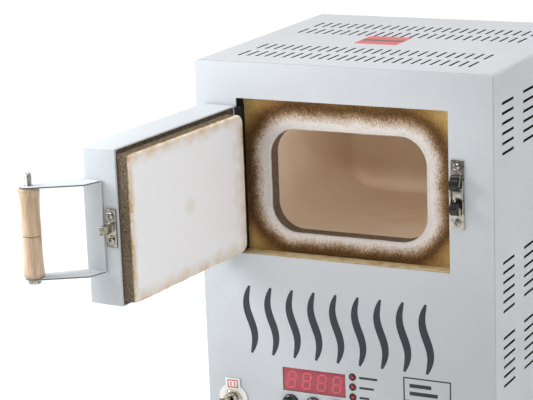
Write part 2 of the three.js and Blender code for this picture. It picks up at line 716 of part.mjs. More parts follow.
piece(
  "hinge_pin",
  cylinder("z", 0.85, hingeHigh - hingeLow, [HINGE_X, HINGE_Y, (hingeLow + hingeHigh) / 2], 12),
  steel,
);

// ---- door ----
// Everything below is laid out with the door closed; the group is then turned open about the hinge.
const doorRight = DOOR_LEFT + DOOR_WIDTH;
const doorFaceY = DOOR_RIM_Y - DOOR_THICK;
const LEAF_LENGTH = 14;
const leafOutside = DOOR_LEFT - 0.3;
const doorLeafOutline = polygon([
  [leafOutside - 1, DOOR_RIM_Y - LEAF_LENGTH],
  [leafOutside, DOOR_RIM_Y - LEAF_LENGTH],
  [leafOutside, DOOR_RIM_Y - 0.2],
  [HINGE_X + 1.2, HINGE_Y + 1.2],
  [HINGE_X + 0.6, HINGE_Y - 0.4],
  [leafOutside - 1, DOOR_RIM_Y - 1.6],
]);
piece(
  "hinge_door_leaf",
  alongZ(doorLeafOutline, hingeLow, hingeHigh)
    .subtract(otherKnucklesRoom(0))
    .add(wasm.Manifold.union(knuckles(1)))
    .subtract(pinBore),
  blackSteel,
  door,
);

const shellInside = [DOOR_LEFT + SHEET, doorRight - SHEET];
piece(
  "door_shell",
  box(DOOR_LEFT, doorRight, doorFaceY, DOOR_RIM_Y, DOOR_BOTTOM, DOOR_TOP).subtract(
    box(...shellInside, doorFaceY + SHEET, DOOR_RIM_Y + 1, DOOR_BOTTOM + SHEET, DOOR_TOP - SHEET),
  ),
  doorCoat,
  door,
);
// The plug fills the shell and stands out of it, set back from the shell's edge by these margins. The
// hinge side is set back most, so that it clears the jamb, and its face has round corners there.
const PLUG_MARGIN = { hinge: 6.5, free: 1.9, bottom: 3.4, top: 4.2 };
const plugEdges = [
  DOOR_LEFT + PLUG_MARGIN.hinge,
  doorRight - PLUG_MARGIN.free,
  DOOR_BOTTOM + PLUG_MARGIN.bottom,
  DOOR_TOP - PLUG_MARGIN.top,
];
const plugY = [DOOR_RIM_Y - 0.5, DOOR_RIM_Y + PLUG_STANDS];
const hingeEnd = box(DOOR_LEFT, DOOR_LEFT + 40, plugY[0] - 0.5, plugY[1], DOOR_BOTTOM, DOOR_TOP);
const squareEnd = alongY(roundedRect(...plugEdges, 2), ...plugY, 2).subtract(hingeEnd);
const roundEnd = alongY(roundedRect(...plugEdges, PLUG_CORNER), ...plugY, 5).intersect(hingeEnd);
piece(
  "door_insulation",
  join(
    box(
      shellInside[0] + GAP,
      shellInside[1] - GAP,
      doorFaceY + SHEET + GAP,
      DOOR_RIM_Y - 0.4,
      DOOR_BOTTOM + SHEET + GAP,
      DOOR_TOP - SHEET - GAP,
    ),
    squareEnd,
    roundEnd,
  ),
  doorBoard,
  door,
);

// Handle bracket: a strip whose base lies on the door's free edge and whose two arms, folded out of
// it, run straight out, then slant to the front of the door and carry the grip between their ends.
const bracketX = doorRight + GAP;
const BASE_NEAR = 11.9; // the strip's edges, in front of the rim
const BASE_FAR = 27.2;
const gripX = doorRight + GRIP_OUT;
const gripY = DOOR_RIM_Y - GRIP_FORWARD;
const END_RADIUS = 6.4; // round ends of the arms, a little smaller than the grip
const slant = Math.atan2(GRIP_FORWARD - 16.2 - END_RADIUS * 0.6, GRIP_OUT - 15.9 + END_RADIUS * 0.8);
function armOutline() {
  const shape = new THREE.Shape();
  shape.moveTo(bracketX, DOOR_RIM_Y - BASE_FAR);
  shape.lineTo(bracketX, DOOR_RIM_Y - BASE_NEAR);
  shape.lineTo(bracketX + 15.6, DOOR_RIM_Y - 16.2);
  shape.absarc(gripX, gripY, END_RADIUS, Math.PI / 2 - slant, -Math.PI / 2 - slant, true);
  shape.lineTo(bracketX + 2.5, DOOR_RIM_Y - BASE_FAR - 2.6);
  return shape;
}
const BORE_RADIUS = 2.8;
const boltBore = cylinder("z", BORE_RADIUS, 2 * LATCH_Z, [gripX, gripY, LATCH_Z], 12);
const bracket = join(
  box(
    bracketX,
    bracketX + ARM_THICK,
    DOOR_RIM_Y - BASE_FAR,
    DOOR_RIM_Y - BASE_NEAR,
    ARM_BOTTOM_Z,
    ARM_TOP_Z,
  ),
  alongZ(armOutline(), ARM_TOP_Z - ARM_THICK, ARM_TOP_Z, 8),
  alongZ(armOutline(), ARM_BOTTOM_Z, ARM_BOTTOM_Z + ARM_THICK, 8),
);
piece("handle_bracket", bracket.subtract(boltBore), doorCoat, door);

// The bolt clamps the grip between the arms, and its nut is sunk in the grip's top end.
const BOLT_RADIUS = 2.4;
const BOLT_STANDS = 8.8; // thread left above the upper arm
const NUT_HEIGHT = 3.6;
const NUT_RADIUS = 4.6; // over the corners
const NUT_POCKET = 5;
const HEAD_HEIGHT = 3.2;
const gripBottom = ARM_BOTTOM_Z + ARM_THICK + GAP;
const gripTop = ARM_TOP_Z - ARM_THICK - GAP;
const gripLength = gripTop - gripBottom;
const pocketFloor = 1 - (NUT_HEIGHT + 2 * GAP) / gripLength;
// radius at each height, the height being a share of the grip's length
const gripProfile = [
  [BORE_RADIUS, 0],
  [7, 0],
  [7.6, 0.03],
  [7.6, 0.08],
  [7, 0.2],
  [6.8, 0.34],
  [6.9, 0.45],
  [6.5, 0.465],
  [6.9, 0.48],
  [6.7, 0.6],
  [6.6, 0.72],
  [6.9, 0.84],
  [7.7, 0.95],
  [7.6, 0.985],
  [6.9, 1],
  [NUT_POCKET, 1],
  [NUT_POCKET, pocketFloor],
  [BORE_RADIUS, pocketFloor],
];
const gripRing = gripProfile.map(([r, share]) => new THREE.Vector2(r, share * gripLength));
gripRing.push(gripRing[0].clone());
const gripGeometry = new THREE.LatheGeometry(gripRing, 20);
gripGeometry.rotateX(Math.PI / 2);
gripGeometry.translate(gripX, gripY, gripBottom);
piece("handle_grip", solid(gripGeometry), beech, door);

const headTop = ARM_BOTTOM_Z - GAP;
const boltTop = ARM_TOP_Z + BOLT_STANDS;
const boltLow = headTop - 0.5;
piece(
  "handle_bolt",
  join(
    cylinder("z", NUT_RADIUS, HEAD_HEIGHT, [gripX, gripY, headTop - HEAD_HEIGHT / 2], 6),
    cylinder("z", BOLT_RADIUS, boltTop - boltLow, [gripX, gripY, (boltTop + boltLow) / 2], 12),
  ),
  steel,
  door,
);
const nutMiddle = [gripX, gripY, gripTop - GAP / 2 - NUT_HEIGHT / 2];
piece(
  "handle_nut",
  cylinder("z", NUT_RADIUS, NUT_HEIGHT, nutMiddle, 6).subtract(
    cylinder("z", BOLT_RADIUS + GAP, NUT_HEIGHT + 2, nutMiddle, 12),
  ),
  steel,
  door,
);

// Striker: a small plate on the door's free edge with a tongue that enters between the rollers.
const STRIKER_THICK = 1.6;
const STRIKER_LOW = LATCH_Z - 14.4;
const STRIKER_HIGH = LATCH_Z + 13.2;
const STRIKER_NEAR = 1.2; // its edges, in front of the rim
const STRIKER_FAR = 10;
const TONGUE_FROM_RIM = 6;
const TONGUE_HALF = [2, 3.1]; // half its thickness, and half its height
const TONGUE_LENGTH = 10.6;
const strikerX = doorRight + GAP;
const tongueY = DOOR_RIM_Y - TONGUE_FROM_RIM;
const tongueZ = LATCH_Z - 0.3;
piece(
  "striker_plate",
  join(
    box(
      strikerX,
      strikerX + STRIKER_THICK,
      DOOR_RIM_Y - STRIKER_FAR,
      DOOR_RIM_Y - STRIKER_NEAR,
      STRIKER_LOW,
      STRIKER_HIGH,
    ),
    box(
      strikerX,
      strikerX + STRIKER_THICK + TONGUE_LENGTH,
      tongueY - TONGUE_HALF[0],
      tongueY + TONGUE_HALF[0],
      tongueZ - TONGUE_HALF[1],
      tongueZ + TONGUE_HALF[1],
    ),
  ),
  nickel,
  door,
);
for (const [name, dz] of [["upper", 8.4], ["lower", -8.6]]) {
  const at = [strikerX + STRIKER_THICK + GAP, DOOR_RIM_Y - 5.4, LATCH_Z + dz];
  panScrew(`striker_screw_${name}`, 90, at, steel, door);
}

// Turn the closed door open about the hinge pin.
door.position.set(HINGE_X, HINGE_Y, 0);
door.rotation.z = THREE.MathUtils.degToRad(-DOOR_OPEN_DEG);
for (const mesh of door.children) mesh.position.set(-HINGE_X, -HINGE_Y, 0);

// Stand the kiln on its feet.
kiln.position.z = FOOT_HEIGHT + GAP;

export default kiln;
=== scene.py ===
import json
import math

import bmesh
import bpy
from mathutils import Matrix, Vector, noise


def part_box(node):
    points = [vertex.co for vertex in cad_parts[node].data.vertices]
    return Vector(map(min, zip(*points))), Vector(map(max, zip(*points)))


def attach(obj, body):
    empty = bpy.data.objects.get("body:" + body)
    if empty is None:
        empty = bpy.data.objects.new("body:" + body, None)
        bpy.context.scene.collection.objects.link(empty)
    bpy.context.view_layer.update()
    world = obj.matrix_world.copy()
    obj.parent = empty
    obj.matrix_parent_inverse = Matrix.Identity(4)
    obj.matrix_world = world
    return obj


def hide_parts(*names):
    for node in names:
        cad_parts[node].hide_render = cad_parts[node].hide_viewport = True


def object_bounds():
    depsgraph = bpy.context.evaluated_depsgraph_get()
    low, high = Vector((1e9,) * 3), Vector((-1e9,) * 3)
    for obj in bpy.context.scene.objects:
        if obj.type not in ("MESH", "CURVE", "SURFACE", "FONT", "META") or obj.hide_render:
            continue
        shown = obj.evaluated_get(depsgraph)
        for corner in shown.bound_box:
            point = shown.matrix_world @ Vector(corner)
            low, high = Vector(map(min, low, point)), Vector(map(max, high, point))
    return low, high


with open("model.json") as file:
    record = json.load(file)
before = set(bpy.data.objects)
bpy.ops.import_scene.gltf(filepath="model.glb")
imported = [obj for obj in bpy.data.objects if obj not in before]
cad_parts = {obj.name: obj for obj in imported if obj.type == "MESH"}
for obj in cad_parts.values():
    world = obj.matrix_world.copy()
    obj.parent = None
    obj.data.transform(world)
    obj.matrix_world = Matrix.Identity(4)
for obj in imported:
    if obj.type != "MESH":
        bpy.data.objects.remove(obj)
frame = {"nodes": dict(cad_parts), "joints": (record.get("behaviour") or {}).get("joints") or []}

cad_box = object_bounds()

MM = 0.001  # lengths below are written in millimetres times this
TAU = 2 * math.pi

# ---- places, all from the frame ----
panel_low, panel_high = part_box("front_panel")
FRONT = panel_low.y
TOP = panel_high.z
HALF = panel_high.x
BASE = panel_low.z  # the casing's lower edge, which the feet hold above the bench

joints = {joint["name"]: joint for joint in frame["joints"]}
door_hinge = joints["door_hinge"]
HINGE = Vector(door_hinge["pos_m"])
OPEN_ANGLE = math.radians(door_hinge["range_deg"][1])
# The door's pieces are built closed and then turned open by this matrix, about the hinge pin.
SWING = Matrix.Rotation(-OPEN_ANGLE, 4, "Z")
DOOR_TURN = Matrix.Translation(HINGE) @ SWING @ Matrix.Translation(-HINGE)

# The mouth cut through the front board is a rounded rectangle, and so are the chamber and the plug.
board_low, board_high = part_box("front_board")
BOARD_DEPTH = board_low.y - FRONT
MOUTH_HALF = 63.3 * MM
MOUTH_RISE = 40 * MM  # half its height
MOUTH_MIDDLE = BASE + 220.5 * MM
MOUTH_CORNER = 21 * MM
GRIP_GROOVE = 0.465  # the groove's height as a share of the grip's length


def closed_box(node):
    """Lowest and highest corner of one of the door's CAD nodes, with the door closed."""
    back = DOOR_TURN.inverted()
    points = [back @ v.co for v in frame["nodes"][node].data.vertices]
    low = Vector(min(p[i] for p in points) for i in range(3))
    high = Vector(max(p[i] for p in points) for i in range(3))
    return low, high


def extent(node, on_door=False):
    """Lowest corner, highest corner and middle of a CAD node's box; on_door, with the door closed."""
    low, high = closed_box(node) if on_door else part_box(node)
    return low, high, (low + high) / 2


SHELL_LOW, SHELL_HIGH = closed_box("door_shell")
# The plug stands out of the shell, set back from the shell's edges.
PLUG_EDGE_LOW = SHELL_LOW + Vector((6.5, 0, 3.4)) * MM
PLUG_FACE = closed_box("door_insulation")[1].y
PLUG_EDGE_HIGH = Vector((SHELL_HIGH.x - 1.9 * MM, PLUG_FACE, SHELL_HIGH.z - 4.2 * MM))


# ---- camera, light and floor ----
def add_camera():
    azimuth, elevation, roll = (math.radians(a) for a in (27.067, 14.182, -2.17))
    aim = Vector((-62.4 * MM, FRONT, BASE + 207.3 * MM))
    distance = 1.5025
    level = math.cos(elevation)
    forward = Vector((-math.sin(azimuth) * level, math.cos(azimuth) * level, -math.sin(elevation)))
    level_right = forward.cross(Vector((0, 0, 1))).normalized()
    level_up = level_right.cross(forward)
    right = level_right * math.cos(roll) + level_up * math.sin(roll)
    up = level_up * math.cos(roll) - level_right * math.sin(roll)
    data = bpy.data.cameras.new("camera")
    data.lens = 134.47
    data.sensor_width = 36
    data.clip_start = 0.05
    camera = bpy.data.objects.new("camera", data)
    turn = Matrix((right, up, -forward)).transposed().to_4x4()
    camera.matrix_world = Matrix.Translation(aim - forward * distance) @ turn
    bpy.context.scene.collection.objects.link(camera)
    bpy.context.scene.camera = camera


def add_light(kind, name, at, toward, power, colour, **settings):
    data = bpy.data.lights.new(name, kind)
    data.energy = power
    data.color = colour
    for key, value in settings.items():
        setattr(data, key, value)
    light = bpy.data.objects.new(name, data)
    light.location = at
    light.rotation_euler = (Vector(toward) - Vector(at)).to_track_quat("-Z", "Y").to_euler()
    bpy.context.scene.collection.objects.link(light)


def add_world():
    """White light from all round, dimmer from in front of the kiln than from behind it."""
    world = bpy.data.worlds.new("studio")
    world.use_nodes = True
    nodes, links = world.node_tree.nodes, world.node_tree.links
    background = nodes["Background"]
    background.inputs["Color"].default_value = (1, 1, 1, 1)
    direction = nodes.new("ShaderNodeTexCoord")
    split = nodes.new("ShaderNodeSeparateXYZ")
    dimming = nodes.new("ShaderNodeMapRange")
    dimming.inputs["From Min"].default_value = -1
    dimming.inputs["To Min"].default_value = 0.19
    dimming.inputs["To Max"].default_value = 0.74
    links.new(direction.outputs["Generated"], split.inputs[0])
    links.new(split.outputs["Y"], dimming.inputs["Value"])
    links.new(dimming.outputs[0], background.inputs["Strength"])
    bpy.context.scene.world = world


def add_lights():
    """A near softbox at the upper left, a spot into the chamber, and soft light from overhead."""
    at, toward = (-0.39, -0.38, 0.42), (-0.05, -0.11, 0.28)
    side = 0.25
    add_light("AREA", "key", at, toward, 1.8, (0.95, 0.98, 1.0), shape="RECTANGLE", size=side, size_y=side)
    at = (0.3, FRONT - 1.1, MOUTH_MIDDLE + 0.5)
    toward = (-20 * MM, FRONT + 60 * MM, MOUTH_MIDDLE - 30 * MM)
    cone = {"spot_size": math.radians(7.4), "spot_blend": 0.8, "shadow_soft_size": 0.12}
    add_light("SPOT", "chamber_spot", at, toward, 38, (1.0, 0.97, 0.93), **cone)
    add_light("SUN", "overhead", (0, 0, 1), (0, 0, 0), 2.2, (1.0, 0.98, 0.962), angle=math.radians(32))


def add_floor():
    mesh = bpy.data.meshes.new("floor")
    reach, ground = 30, cad_box[0][2]
    corners = [(x * reach, y * reach, ground) for x, y in ((-1, -1), (1, -1), (1, 1), (-1, 1))]
    mesh.from_pydata(corners, [], [(0, 1, 2, 3)])
    floor = bpy.data.objects.new("floor", mesh)
    bpy.context.scene.collection.objects.link(floor)
    look = Graph("floor_white", {"Roughness": 0.6})
    shade = look.noise(400, 2)
    look.paint(look.mix(shade, grey(0.94), grey(0.97)))
    mesh.materials.append(look.material)


# ---- colours and node graphs ----
def srgb(red, green, blue):
    """A display colour, 0 to 255, as the linear colour that shaders take."""

    def linear(level):
        level /= 255
        return level / 12.92 if level <= 0.04045 else ((level + 0.055) / 1.055) ** 2.4

    return (linear(red), linear(green), linear(blue), 1)


def grey(level):
    return (level, level, level, 1)


def tones(*stops):
    """Stops for a ramp from rows of a position and a display colour."""
    return [(position, srgb(*colour)) for position, *colour in stops]


class Graph:
    """One material's node graph, whose methods return the sockets they make.

    Noise sizes and bump depths are in millimetres. Places and the distances between them are in metres.
    """

    def __init__(self, name, values):
        self.material = bpy.data.materials.new(name)
        self.material.use_nodes = True
        self.tree = self.material.node_tree
        self.shader = self.tree.nodes["Principled BSDF"]
        for socket, value in values.items():
            self.shader.inputs[socket].default_value = value
        self.place = self.add("ShaderNodeTexCoord").outputs["Object"]

    def add(self, kind, settings=None, inputs=None):
        node = self.tree.nodes.new(kind)
        for key, value in (settings or {}).items():
            setattr(node, key, value)
        for key, value in (inputs or {}).items():
            self.feed(node.inputs[key], value)
        return node

    def feed(self, socket, value):
        if isinstance(value, bpy.types.NodeSocket):
            self.tree.links.new(value, socket)
        else:
            socket.default_value = value

    def use(self, socket, value):
        self.feed(self.shader.inputs[socket], value)

    def noise(self, size, detail, roughness=0.55, stretch=(1, 1, 1), distortion=0.0):
        stretched = self.add("ShaderNodeVectorMath", {"operation": "MULTIPLY"}, {0: self.place, 1: stretch})
        inputs = {"Vector": stretched.outputs[0], "Scale": 1 / (size * MM), "Detail": detail}
        inputs.update({"Roughness": roughness, "Distortion": distortion})
        return self.add("ShaderNodeTexNoise", None, inputs).outputs["Fac"]

    def cells(self, size):
        inputs = {"Vector": self.place, "Scale": 1 / (size * MM)}
        return self.add("ShaderNodeTexVoronoi", None, inputs).outputs["Distance"]

    def math(self, operation, *values):
        node = self.add("ShaderNodeMath", {"operation": operation})
        for socket, value in zip(node.inputs, values):
            self.feed(socket, value)
        return node.outputs[0]

    def total(self, first, *others):
        for each in others:
            first = self.math("ADD", first, each)
        return first

    def minus(self, a, b):
        return self.math("SUBTRACT", a, b)

    def times(self, a, b):
        return self.math("MULTIPLY", a, b)

    def length(self, a, b):
        return self.math("SQRT", self.total(self.math("POWER", a, 2), self.math("POWER", b, 2)))

    def paint(self, colour):
        self.use("Base Color", colour)

    def axis(self, letter):
        return self.add("ShaderNodeSeparateXYZ", None, {0: self.place}).outputs[letter]

    def span(self, value, low, high, start=0.0, end=1.0):
        """value from low to high, as start to end, held at both ends."""
        inputs = {"Value": value, "From Min": low, "From Max": high, "To Min": start, "To Max": end}
        return self.add("ShaderNodeMapRange", {"clamp": True}, inputs).outputs[0]

    def ramp(self, factor, stops):
        node = self.add("ShaderNodeValToRGB", None, {"Fac": factor})
        elements = node.color_ramp.elements
        while len(elements) < len(stops):
            elements.new(0.5)
        for element, (position, colour) in zip(elements, stops):
            element.position = position
            element.color = colour
        return node.outputs["Color"]

    def mix(self, factor, a, b, blend="MIX"):
        node = self.add("ShaderNodeMix", {"data_type": "RGBA", "blend_type": blend})
        self.feed(node.inputs["Factor"], factor)
        self.feed(node.inputs[6], a)
        self.feed(node.inputs[7], b)
        return node.outputs[2]

    def over(self, base, colour, value, *limits):
        """colour laid over base by as much as span(value, *limits)."""
        return self.mix(self.span(value, *limits), base, colour)

    def bump(self, *layers):
        """Bumps, each a height from 0 to 1 and its depth, one over the other."""
        normal = None
        for height, depth in layers:
            inputs = {"Height": height, "Distance": depth * MM, "Strength": 1.0}
            if normal:
                inputs["Normal"] = normal
            normal = self.add("ShaderNodeBump", None, inputs).outputs[0]
        self.use("Normal", normal)


# ---- materials ----
def powder_coat(name, colour, slotted=False):
    """Fine orange-peel paint. On the slotted cover the slots' cut walls and the front seam are darkened as
    painted shade.
    """
    look = Graph(name, {"Specular IOR Level": 0.45})
    patches = look.noise(70, 2)
    mottle = look.noise(2.2, 2)
    dark = tuple(c * 0.93 for c in colour[:3]) + (1,)
    base = look.over(colour, dark, patches, 0.35, 0.65, 0, 0.45)
    speck = look.over(grey(0.965), grey(1.0), mottle, 0.4, 0.62)
    if slotted:
        # painted shade: faces below the cover's outer skin, the slots' cut walls and the cover's inside, go
        # near black
        below_top = look.minus(TOP, look.axis("Z"))
        from_side = look.minus(HALF, look.math("ABSOLUTE", look.axis("X")))
        slot_wall_shade = look.span(look.math("MINIMUM", below_top, from_side), 0.1 * MM, 0.22 * MM, 0, 0.96)
        off_corner = look.span(look.math("MAXIMUM", below_top, from_side), 2.4 * MM, 3 * MM)
        base = look.mix(look.times(slot_wall_shade, off_corner), base, grey(0.02))
        # painted shade: a dark line along the cover's front edge, in the seam gap with the front panel
        from_front = look.minus(look.axis("Y"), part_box("cover")[0].y)
        base = look.over(base, grey(0.1), from_front, 0.35 * MM, 0.7 * MM, 0.7, 0)
    look.paint(look.mix(1.0, base, speck, "MULTIPLY"))
    look.use("Roughness", look.span(look.noise(25, 4), 0.3, 0.7, 0.36, 0.5))
    look.bump((look.noise(2.2, 2), 0.11), (look.noise(0.8, 1), 0.03))
    return look.material


def metal(name, colour, roughness, scratch=0.12, brushed=(1, 1, 12), worn=0.72, patch=5):
    look = Graph(name, {"Metallic": 1.0})
    dull = tuple(c * worn for c in colour[:3]) + (1,)
    stain = look.noise(patch, 4, 0.65)
    look.paint(look.over(colour, dull, stain, 0.42, 0.7))
    lines = look.noise(0.25, 2, 0.6, brushed)
    tone = look.span(stain, 0.3, 0.7, roughness, roughness + scratch)
    look.use("Roughness", look.total(tone, look.span(lines, 0.3, 0.8, 0, scratch)))
    look.bump((lines, 0.01), (look.noise(1.5, 2), 0.015))
    return look.material


def blotched(name, values, blotch, stops, grain, roughness=()):
    """Tones spread over one noise, a finer bump, and where given a roughness that follows the tones."""
    look = Graph(name, values)
    tone = look.noise(*blotch)
    look.paint(look.ramp(tone, stops))
    if roughness:
        look.use("Roughness", look.span(tone, *roughness))
    size, detail, depth = grain
    look.bump((look.noise(size, detail) if size else tone, depth))
    return look.material


def plastic(name, colour, roughness, texture=0.02, coat=0.0):
    coating = {"Coat Weight": coat, "Coat Roughness": 0.06}
    dusty = tuple(0.85 * c + 0.02 for c in colour[:3]) + (1,)
    stops = [(0.5, colour), (0.75, dusty)]
    rough = (0.35, 0.7, roughness, roughness + 0.1)
    return blotched(name, coating, (4, 5, 0.7), stops, (0.5, 3, texture), rough)


def beech():
    """Turned beech: long fine grain up the grip, small dark flecks, and darker towards both ends."""
    look = Graph("turned_beech", {"Specular IOR Level": 0.4})
    low, high = closed_box("handle_grip")
    grain = look.noise(1.1, 4, 0.6, (1, 1, 0.05), 0.4)
    figure = look.noise(7, 3, 0.5, (1, 1, 0.18), 1.2)
    flecks = look.noise(0.5, 2, 0.5, (1, 1, 0.12))
    tone = look.times(figure, look.span(grain, 0.25, 0.8, 0.7, 1.3))
    wood = look.ramp(tone, tones((0.3, 192, 163, 134), (0.5, 214, 188, 160), (0.72, 228, 206, 182)))
    wood = look.over(wood, srgb(186, 152, 124), flecks, 0.62, 0.74, 0, 0.4)
    height = look.axis("Z")
    groove = low.z + GRIP_GROOVE * (high.z - low.z)
    from_foot, from_top = look.minus(height, low.z), look.minus(high.z, height)
    from_ends = look.math("MINIMUM", from_foot, from_top)
    wavering = look.total(from_ends, look.times(figure, 2 * MM))
    wood = look.over(wood, srgb(140, 104, 72), wavering, 1 * MM, 4 * MM, 0.5, 0)
    near_groove = look.math("ABSOLUTE", look.minus(height, groove))
    wood = look.over(wood, srgb(110, 74, 46), near_groove, 0.2 * MM, 0.65 * MM, 0.75, 0)
    look.paint(wood)
    look.use("Roughness", look.span(grain, 0.2, 0.8, 0.42, 0.6))
    look.bump((grain, 0.06), (flecks, 0.03))
    return look.material


def scorched_board():
    """Fibre board round the mouth: bare near the mouth, a scorched brown ring, golden in the corners."""
    look = Graph("scorched_board", {"Roughness": 0.92, "Specular IOR Level": 0.15})
    x, y, z = (look.axis(letter) for letter in "XYZ")

    def beyond(value, half):
        return look.math("MAXIMUM", look.minus(look.math("ABSOLUTE", value), half), 0.0)

    across = beyond(x, MOUTH_HALF - MOUTH_CORNER)
    up = beyond(look.minus(z, MOUTH_MIDDLE), MOUTH_RISE - MOUTH_CORNER)
    distance = look.minus(look.length(across, up), MOUTH_CORNER)
    # the scorching starts nearer the mouth below it
    sill = MOUTH_MIDDLE - MOUTH_RISE
    under = look.span(z, sill + 8 * MM, sill - 4 * MM, 0, 3 * MM)
    ragged = look.span(look.noise(12, 5, 0.6), 0.2, 0.8, -2.4 * MM, 2.4 * MM)
    fibres = look.noise(0.9, 4, 0.7, (1, 1, 0.4))
    combed = look.span(fibres, 0.25, 0.75, -2.6 * MM, 2.6 * MM)
    grain = look.noise(0.42, 2)
    stipple = look.span(grain, 0.25, 0.75, -1.8 * MM, 1.8 * MM)
    scorch = look.total(distance, under, stipple, ragged, combed)
    bare = tones((0, 214, 206, 200), (0.13, 226, 221, 217), (0.22, 206, 188, 170), (0.3, 146, 116, 86))
    burnt = tones((0.37, 98, 68, 38), (0.44, 84, 56, 28), (0.54, 146, 108, 60))
    golden = tones((0.68, 198, 160, 96), (1, 230, 206, 144))
    face = look.ramp(look.span(scorch, 0, 42 * MM), bare + burnt + golden)
    face = look.over(face, srgb(104, 80, 54), fibres, 0.52, 0.76, 0, 0.5)
    face = look.over(face, srgb(236, 224, 208), look.noise(0.9, 2), 0.6, 0.8, 0, 0.3)
    charred = look.span(scorch, 6 * MM, 16 * MM, 0, 0.6)
    speck = look.times(charred, look.span(grain, 0.5, 0.68))
    face = look.mix(speck, face, srgb(62, 44, 26))
    pale = look.times(charred, look.span(grain, 0.46, 0.3))
    face = look.mix(look.times(pale, 0.6), face, srgb(194, 156, 98))
    throat = look.ramp(look.noise(1.6, 4, 0.7), tones((0.3, 92, 80, 68), (0.7, 146, 130, 112)))
    inward = look.span(y, FRONT + BOARD_DEPTH + 0.9 * MM, FRONT + BOARD_DEPTH + 1.9 * MM)
    look.paint(look.mix(inward, face, throat))
    look.bump((look.noise(0.7, 4, 0.7, (1, 1, 0.5)), 0.35), (fibres, 0.3))
    return look.material


def chamber_fibre():
    """The muffle's moulded lining: smooth, warm, a little blotched by firings."""
    look = Graph("chamber_fibre", {"Roughness": 0.9, "Specular IOR Level": 0.15})
    blotch = look.noise(30, 4, 0.5)
    warm = look.ramp(blotch, tones((0.3, 250, 228, 204), (0.7, 253, 236, 214)))
    grit = look.noise(0.8, 3, 0.7)
    look.paint(look.mix(look.span(grit, 0.55, 0.8, 0, 0.25), warm, srgb(236, 214, 188)))
    look.bump((look.noise(3, 4, 0.6), 0.25), (grit, 0.08))
    return look.material


def plug_fibre():
    """The door's plug: a white face with a ragged tan border, and brown, pitted cut sides."""
    look = Graph("plug_fibre", {"Roughness": 0.92, "Specular IOR Level": 0.15})
    low, high = PLUG_EDGE_LOW, PLUG_EDGE_HIGH
    x, y, z = (look.axis(letter) for letter in "XYZ")
    # how far the scorching reaches in from each edge
    margins = (
        (look.minus(x, low.x), 19 * MM),
        (look.minus(high.x, x), 5 * MM),
        (look.minus(high.z, z), 11 * MM),
        (look.minus(z, low.z), 13 * MM),
    )
    inside = None
    for distance, width in margins:
        share = look.math("DIVIDE", distance, width)
        inside = look.math("SMOOTH_MIN", inside, share, 0.6) if inside else share
    ragged = look.span(look.noise(11, 5, 0.55), 0.25, 0.75, -0.35, 0.35)
    border = look.total(inside, ragged)
    white = tones((0, 208, 186, 154), (0.2, 232, 218, 200), (0.5, 243, 239, 234), (0.75, 250, 250, 252))
    face = look.ramp(look.span(border, -0.2, 1.3), white)
    stain = look.noise(2.2, 5, 0.7)
    face = look.over(face, srgb(222, 208, 196), stain, 0.56, 0.78, 0, 0.35)
    middle_x, middle_z = (low.x + high.x) / 2 + 2 * MM, (low.z + high.z) / 2
    from_middle = look.length(look.minus(x, middle_x), look.minus(z, middle_z))
    face = look.over(face, srgb(240, 238, 230), from_middle, 4 * MM, 8 * MM, 0.8, 0)
    # the very edge is burnt orange in a thin broken line
    left, right, top, bottom = (distance for distance, width in margins)
    from_edge = look.math("MINIMUM", look.math("MINIMUM", left, right), look.math("MINIMUM", top, bottom))
    broken = look.span(look.noise(9, 4, 0.7), 0.4, 0.65, -0.4 * MM, 1.3 * MM)
    burnt = look.span(look.minus(from_edge, broken), -0.5 * MM, 0.4 * MM, 0.6, 0)
    face = look.mix(burnt, face, srgb(190, 142, 94))
    pits = look.noise(1.6, 4, 0.75)
    side = look.ramp(pits, tones((0.3, 62, 54, 43), (0.5, 110, 98, 81), (0.75, 156, 142, 120)))
    uneven = look.total(y, look.times(pits, 1.2 * MM))
    onto_face = look.span(uneven, high.y - 2.2 * MM, high.y - 1.0 * MM)
    look.paint(look.mix(onto_face, side, face))
    rough = look.times(pits, look.span(onto_face, 0, 1, 1, 0.15))
    look.bump((look.noise(5, 4, 0.6), 0.3), (rough, 0.8))
    return look.material


# ---- mesh helpers ----
def place(name, bm, material, body, node=None, slot=None, turned=False, sharp=32, extra=()):
    """Turns a bmesh into a piece that rides on body and, where node is given, stands for that CAD node."""
    bmesh.ops.recalc_face_normals(bm, faces=bm.faces)
    mesh = bpy.data.meshes.new(name)
    bm.to_mesh(mesh)
    bm.free()
    mesh.polygons.foreach_set("use_smooth", [True] * len(mesh.polygons))
    mesh.set_sharp_from_angle(angle=math.radians(sharp))
    for each in (material, *extra):
        mesh.materials.append(each)
    piece = bpy.data.objects.new(name, mesh)
    bpy.context.scene.collection.objects.link(piece)
    if turned:
        piece.matrix_world = DOOR_TURN
    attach(piece, body)
    if node:
        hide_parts(node)


def stand_in(node, bm, material, slot, body="casing", **more):
    """The piece that stands for one CAD node. The slot it is given is not used."""
    place(f"{node}_shape", bm, material, body, node, slot, **more)


def skin(rings, closed=True):
    """Quads between rings of equal length. Where closed, the last ring joins the first."""
    bm = bmesh.new()
    rows = [[bm.verts.new(p) for p in ring] for ring in rings]
    pairs = list(zip(rows, rows[1:])) + ([(rows[-1], rows[0])] if closed else [])
    for a, b in pairs:
        for i in range(len(a)):
            j = (i + 1) % len(a)
            bm.faces.new((a[i], a[j], b[j], b[i]))
    return bm


def welded(bm, gap=1e-7):
    bmesh.ops.remove_doubles(bm, verts=bm.verts, dist=gap)
    return bm


def capped(bm):
    """Fills the open ends."""
    bmesh.ops.holes_fill(bm, edges=[e for e in bm.edges if e.is_boundary], sides=0)
    return bm


def bevelled(bm, edges, offset, segments, clamp=True):
    """Rounds those edges. Where clamped, no bevel runs into the next one."""
    shape = {"offset": offset, "segments": segments, "profile": 0.5, "clamp_overlap": clamp}
    bmesh.ops.bevel(bm, geom=edges, affect="EDGES", **shape)


